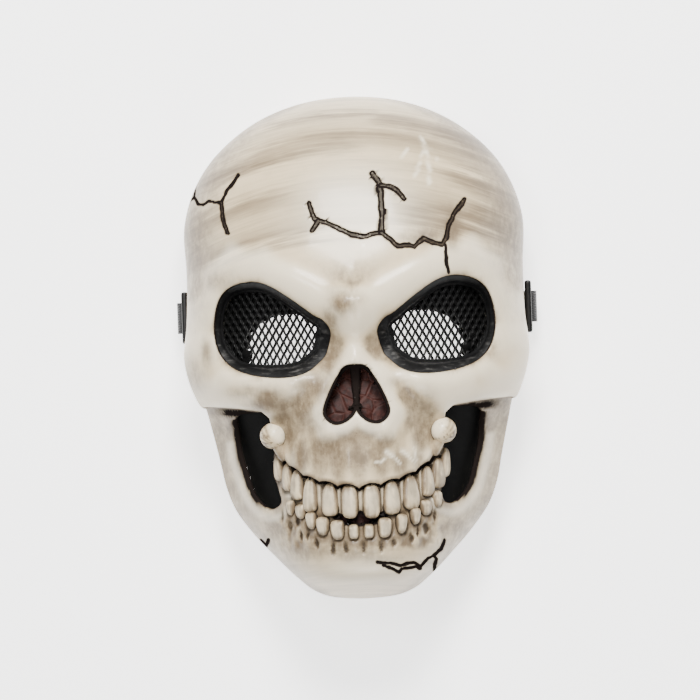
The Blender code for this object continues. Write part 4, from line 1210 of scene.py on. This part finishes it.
def knob_bodies(side):
    """The ball and the stalk beside the upper teeth, with painted shade low on the ball and under the stalk,
    and painted light on one side of the ball.
    """
    x, y = place([KNOB_PLACE])[0]
    middle, _, up, out = surface_frame(side * x, y)
    out = out + np.array([0, 0, 1.0])
    out /= np.linalg.norm(out)
    across = np.cross(up, out)
    across /= np.linalg.norm(across)
    up = np.cross(out, across)
    middle = middle + np.array([0, 0, 0.55 * KNOB_RADIUS])
    unit, triangles = round_body(56, 40)
    pits = layered_noise(unit[:, 0] * 5 + 3 * side, unit[:, 1] * 5, 77, 3)
    swell = 1 + 0.05 * (pits - 0.5) - 0.03 * fade(pits, 0.62, 0.75)
    points = middle + KNOB_RADIUS * (np.outer(unit[:, 0] * swell, across) + np.outer(unit[:, 1] * swell, up)
                                     + np.outer(unit[:, 2] * swell * 0.93, out))
    # Painted shade towards the ball's foot
    low = fade(0.55 - unit[:, 2], 0, 0.8)
    rays = np.arctan2(unit[:, 1] + 0.7, side * unit[:, 0] + 0.5)
    fan = fade(side * unit[:, 0], -0.25, 0.15) * (0.55 + 0.45 * np.sin(rays * 24))
    wash = 0.50 * low + 0.6 * fade(pits, 0.55, 0.75) + 0.45 * fan
    # Painted shadow round the back of the ball, where it sits on the surface
    line = 0.9 * fade(0.16 - unit[:, 2], 0, 0.35)
    # Painted light on the ball's lit side
    lit = fade(-side * unit[:, 0] + 0.5 * unit[:, 1], 0.1, 0.6)
    ball = points, triangles, paint_layers(wash, line, 0.0, 0.7 * lit)
    end_x, end_y = place([STALK_END])[0]
    foot, _, _, foot_out = surface_frame(side * end_x, end_y)
    foot = foot + foot_out * (STALK_RADIUS * 0.2)
    along = foot - middle
    length = np.linalg.norm(along)
    along /= length
    cross = np.cross(along, out)
    cross /= np.linalg.norm(cross)
    lift = np.cross(cross, along)
    unit, triangles = round_body(36, 30)
    t = (unit[:, 1] + 1) / 2
    round_share = np.sqrt(np.maximum(1 - unit[:, 1] ** 2, 1e-9))
    thick = STALK_RADIUS * (1.15 - 0.35 * t) * (1 - unit[:, 1] ** 8) ** 0.5
    points = middle + np.outer(t * length * 1.1, along)
    points += np.outer(unit[:, 0] / round_share * thick, cross)
    points += np.outer(unit[:, 2] / round_share * thick, lift)
    wash = 0.35 + 0.4 * fade(t, 0.5, 1.0)
    # Painted shade on the stalk's underside
    line = 0.85 * fade(0.1 - unit[:, 2] / round_share, 0, 0.5)
    return [ball, (points, triangles, paint_layers(wash, line))]


for upper, name in ((True, "upper_teeth"), (False, "lower_teeth")):
    bodies = [tooth_body(t, n) for n, t in enumerate(TEETH) if t.upper == upper]
    keep(join_bodies(name, bodies))
keep(join_bodies("cheek_knobs", knob_bodies(-1) + knob_bodies(1)))


# Eye frames: a band that falls from under the skull's edge to the net, with a step

def band_piece(name, loop_out, loop_in, side):
    """A loft across the band, from its hidden outer edge to its inner lip."""
    outer = np.array(sided(grow(loop_out, 0.0014), side))
    inner = np.array(sided(loop_in, side))
    high = height(*outer.T) + relief(*outer.T, SKULL_RIDGES) - FRAME_DROP * 1.15
    low = drop_along_normal(inner[:, 0], inner[:, 1], MESH_DROP - 0.0012)
    shares = np.array([0, 0.1, 0.22, 0.36, 0.5, 0.62, 0.70, 0.74, 0.82, 0.92, 1.0])
    steps = np.array([0, 0.05, 0.12, 0.20, 0.30, 0.40, 0.50, 0.78, 0.86, 0.93, 1.0])
    rows = []
    for share, fall in zip(shares, steps):
        flat = outer * (1 - share) + inner * share
        z = high * (1 - fall) + low * fall
        rows.append(np.concatenate([flat, z[:, None]], 1))
    lip = rows[-1].copy()
    lip[:, 2] -= 0.0012
    rows.append(lip)
    grid = np.stack(rows)
    triangles = grid_triangles(*grid.shape[:2], closed=True, flipped=side > 0)
    edge = np.append(np.exp(-((shares - 0.42) / 0.22) ** 2), 0.2)[:, None]
    lower = fade(0.10 * HALF_HEIGHT - grid[..., 1], -0.01, 0.02)
    brush = np.clip(edge * (0.25 + lower), 0, 1).reshape(-1)
    made = new_piece(name, grid.reshape(-1, 3), triangles, paint_layers(brush))
    made.data.materials.append(FRAME_BLACK)
    solidify(made, 0.0014)
    return made


# Net of the eyes: diamonds of expanded metal
NET_ACROSS = 0.00365
NET_UP = 0.0062
NET_STRAND = 0.00062
NET_THICK = 0.0007
NET_REACH = 0.0040
NET_LEAN = 0.00022


def net_piece(name, side):
    """One ring of faces round each hole; neighbours share their outer corners."""
    reach = grow(eye_sight, NET_REACH)
    cells = []
    for row in range(-8, 14):
        for column in range(0, 26):
            x = (column + 0.5 * (row % 2)) * NET_ACROSS
            y = row * NET_UP / 2 + 0.0007
            cells.append((x, y))
    cells = np.array(cells)
    cells = cells[outside_distance(cells[:, 0], cells[:, 1], reach) < 0]
    corner = np.array([(1, 0), (0.5, 0.5), (0, 1), (-0.5, 0.5), (-1, 0), (-0.5, -0.5), (0, -1), (0.5, -0.5)])
    full = corner * (NET_ACROSS / 2, NET_UP / 2)
    inset = [(1.25, 0), (0.86, 0.5), (0, 1.5), (-0.86, 0.5), (-1.25, 0), (-0.86, -0.5), (0, -1.5),
             (0.86, -0.5)]
    hole = full - np.array(inset) * NET_STRAND
    tilt = np.array([0, 1, 1, 1, 0, -1, -1, -1]) * NET_LEAN
    data, triangles = [], []
    for x, y in cells:
        start = len(data)
        for (fx, fy), (hx, hy), lean in zip(full, hole, tilt):
            data += [(side * (x + fx), y + fy, 0.0, 0.0), (side * (x + hx), y + hy, 0.0, lean)]
        for k in range(8):
            a, b = start + 2 * k, start + 2 * ((k + 1) % 8)
            quad = [(a, b, b + 1), (a, b + 1, a + 1)]
            triangles += quad if side > 0 else [(p, r, q) for p, q, r in quad]
    data, triangles = weld(np.array(data), np.array(triangles))
    points = data[:, :3].copy()
    points[:, 2] = drop_along_normal(points[:, 0], points[:, 1], MESH_DROP) + data[:, 3]
    made = new_piece(name, points, triangles, smooth=False)
    made.data.materials.append(MESH_BLACK)
    solidify(made, NET_THICK)
    return made


for side, word in ((-1, "left"), (1, "right")):
    keep(band_piece(f"eye_band_{word}", eye_rim, eye_sight, side), f"eye_frame_{word}")
    keep(net_piece(f"eye_net_{word}", side), f"eye_mesh_{word}")


# Backings and the foam pad: sheets cut from a deeper layer of the base form
PANEL_LAP = 0.004
PANEL_THICK = 0.0015
LINER_THICK = 0.0012
LINER_FOLDS = 0.0022
PAD_THICK = 0.006
PAD_FOLDS = 0.0004


def backing(name, loop, drop, thickness, material, rough=0.0, edge=0.003):
    """A formed sheet under an outline, with its own unevenness."""
    def region(x, y):
        return -outside_distance(x, y, loop)

    def wanted(x, y):
        return np.where(np.abs(region(x, y)) < 0.002, edge * 0.4, edge)

    data, triangles = shell_surface(SKULL_FORM, region, wanted, 2)
    x, y = data[:, 0], data[:, 1]
    points = data[:, :3] - normals_of(data[:, :3], triangles) * drop
    if rough:
        folds = np.abs(layered_noise(x * 110, y * 110, 5) - 0.5) * 2
        folds = np.maximum(folds, np.abs(layered_noise(x * 90 + y * 60, y * 40, 12) - 0.5) * 2)
        points[:, 2] -= rough * folds
    rolled = edge_roll(region(x, y), min(0.45 * thickness, 0.002))
    points -= normals_of(points, triangles) * rolled[:, None]
    made = new_piece(name, points, triangles)
    made.data.materials.append(material)
    solidify(made, thickness)
    return made


for side, word in ((-1, "left"), (1, "right")):
    panel_loop = sided(grow(cheek_loop, PANEL_LAP), side)
    panel = backing(f"cheek_backing_{word}", panel_loop, BACKING_DROP, PANEL_THICK, PANEL_BLACK)
    keep(panel, f"cheek_panel_{word}")
liner_loop = mirrored(place(LINER))
liner = backing("nose_mouth_sheet", liner_loop, BACKING_DROP, LINER_THICK, LINER_RED, LINER_FOLDS, 0.0016)
keep(liner, "nose_mouth_liner")
pad = backing("brow_foam", mirrored(place(PAD)), PAD_DROP, PAD_THICK, FOAM_BLACK, PAD_FOLDS)
keep(pad, "brow_pad")

# Sliders keep their solids and take their plastic here
for word in ("left", "right"):
    node = bpy.data.objects[f"strap_slider_{word}"]
    node.data.materials.clear()
    node.data.materials.append(SLIDER_BLACK)

# Strap: the route of its solid, in finer steps
STRAP_WIDTH = 0.016
STRAP_THICK = 0.0015
STRAP_BOW = 0.038
STRAP_TAIL = 0.022
STRAP_FALL = 0.011
STRAP_TURN = 0.016
SLIDER_THICK = 0.0034
SLIDER_BAR = 0.0030
SLIDER_UP = 0.018
SLIDER_BACK = 0.0167
SLOT_HEIGHT = 0.0042
wall_x = float(width_at(SLIDER_UP, SKULL_FORM))
slot_z = [SLIDER_BACK - SLIDER_BAR / 2 - SLOT_HEIGHT / 2, SLIDER_BACK + SLIDER_BAR / 2 + SLOT_HEIGHT / 2]
bar_x = wall_x + GAP + SLIDER_THICK
inner_x = wall_x - WALL - RIM_TUCK / 2 - STRAP_THICK
turn_radius = (slot_z[1] - slot_z[0]) / 2
side_path = [(inner_x, slot_z[1] + turn_radius / 2 + STRAP_TAIL), (inner_x, slot_z[1] + turn_radius / 2)]
side_path.append((inner_x + 0.3 * turn_radius, slot_z[1] + 0.1 * turn_radius))
side_path.append((inner_x + turn_radius * 0.8, slot_z[1]))
for step in range(7):
    angle = math.radians(90 - 30 * step)
    side_path.append((bar_x - 0.45 * turn_radius + 0.98 * turn_radius * math.cos(angle),
                      SLIDER_BACK + turn_radius * math.sin(angle)))
side_path.append((inner_x, slot_z[0]))
side_path.append((inner_x - 0.004, slot_z[0] - 0.0025))
side_path.append((inner_x - 0.007, slot_z[0] - 0.007))
side_path.append((inner_x - STRAP_FALL, STRAP_THICK / 2 + 0.0008))
floor_x = inner_x - STRAP_TURN
path = [(x, SLIDER_UP, z) for x, z in side_path]
for step in range(49):
    x = floor_x * (1 - 2 * step / 48)
    bow = STRAP_BOW * (1 + math.cos(math.pi * x / floor_x)) / 2
    path.append((x, SLIDER_UP + bow, STRAP_THICK / 2))
path += [(-x, SLIDER_UP, z) for x, z in reversed(side_path)]
path = np.array(path)
ends = len(side_path)
ahead = np.roll(path, -1, 0) - np.roll(path, 1, 0)
ahead[0], ahead[-1] = path[1] - path[0], path[-1] - path[-2]
across = np.stack([-ahead[:, 1], ahead[:, 0], 0 * ahead[:, 0]], -1)
across[:ends] = (0, -1, 0)
across[-ends:] = (0, -1, 0)
across /= np.linalg.norm(across, axis=1)[:, None]
travel = np.concatenate([[0], np.cumsum(np.linalg.norm(np.diff(path, axis=0), axis=1))])
columns = np.linspace(-1, 1, 9)
grid = path[:, None] + across[:, None] * (columns[None, :, None] * STRAP_WIDTH / 2)
triangles = grid_triangles(*grid.shape[:2])
paint = np.zeros((*grid.shape[:2], 4))
paint[..., 0] = travel[:, None]
paint[..., 1] = (columns[None, :] + 1) / 2
strap = new_piece("head_strap_webbing", grid.reshape(-1, 3), triangles, paint.reshape(-1, 4))
strap.data.materials.append(WEBBING)
solid = strap.modifiers.new("Webbing", "SOLIDIFY")
solid.thickness = STRAP_THICK
solid.offset = 0
keep(strap, "head_strap")

# Floor, light and camera
PHOTO_WIDTH = 700
PHOTO_SCALE = 0.000515
PHOTO_MIDDLE = (357, 347)
ROLL = math.radians(2.0)
TILT = math.radians(1.4)
DISTANCE = 4.0
AIM_HEIGHT = 0.045

floor_mesh = bpy.data.meshes.new("floor")
floor_mesh.from_pydata([(-3, -3, 0), (3, -3, 0), (3, 3, 0), (-3, 3, 0)], [], [(0, 1, 2, 3)])
floor = bpy.data.objects.new("floor", floor_mesh)
bpy.context.scene.collection.objects.link(floor)
FLOOR_WHITE = new_material("floor_white", Base_Color=(0.92, 0.92, 0.92, 1), Roughness=0.8,
                           Emission_Color=(1, 1, 1, 1), Emission_Strength=2.2)[0]
floor_mesh.materials.append(FLOOR_WHITE)


def area_light(name, spot, aim, size, power_watts, colour=(1, 1, 1)):
    """A soft square lamp that looks at a point."""
    lamp = bpy.data.lights.new(name, "AREA")
    lamp.energy = power_watts
    lamp.size = size
    lamp.color = colour
    made = bpy.data.objects.new(name, lamp)
    made.location = spot
    made.rotation_euler = (Vector(aim) - Vector(spot)).to_track_quat("-Z", "Y").to_euler()
    bpy.context.scene.collection.objects.link(made)


area_light("key", (0.05, 0.80, 1.20), (0, 0, 0.06), 0.40, 40, (1.0, 0.985, 0.96))
area_light("top", (-0.30, 0.25, 1.4), (0, 0, 0.06), 0.35, 11)
area_light("low_front", (0.1, -1.0, 0.9), (0, -0.03, 0.05), 0.40, 6)

world = bpy.data.worlds.new("world")
world.use_nodes = True
world.node_tree.nodes["Background"].inputs[0].default_value = (0.9, 0.92, 0.95, 1)
world.node_tree.nodes["Background"].inputs[1].default_value = 0.10
bpy.context.scene.world = world

out = Vector((math.sin(TILT), 0, math.cos(TILT)))
right = Vector((math.cos(ROLL), -math.sin(ROLL), 0))
right = (right - out * right.dot(out)).normalized()
up = out.cross(right)
shift_x = (PHOTO_WIDTH / 2 - PHOTO_MIDDLE[0]) * PHOTO_SCALE
shift_y = (PHOTO_MIDDLE[1] - PHOTO_WIDTH / 2) * PHOTO_SCALE
aim = Vector((0, 0, AIM_HEIGHT)) + right * shift_x + up * shift_y
lens = bpy.data.cameras.new("camera")
lens.sensor_width = 36
lens.lens = lens.sensor_width * DISTANCE / (PHOTO_WIDTH * PHOTO_SCALE)
lens.clip_end = 20
camera = bpy.data.objects.new("camera", lens)
spot = aim + out * DISTANCE
camera.matrix_world = Matrix(((right.x, up.x, out.x, spot.x), (right.y, up.y, out.y, spot.y),
                              (right.z, up.z, out.z, spot.z), (0, 0, 0, 1)))
bpy.context.scene.collection.objects.link(camera)
bpy.context.scene.camera = camera
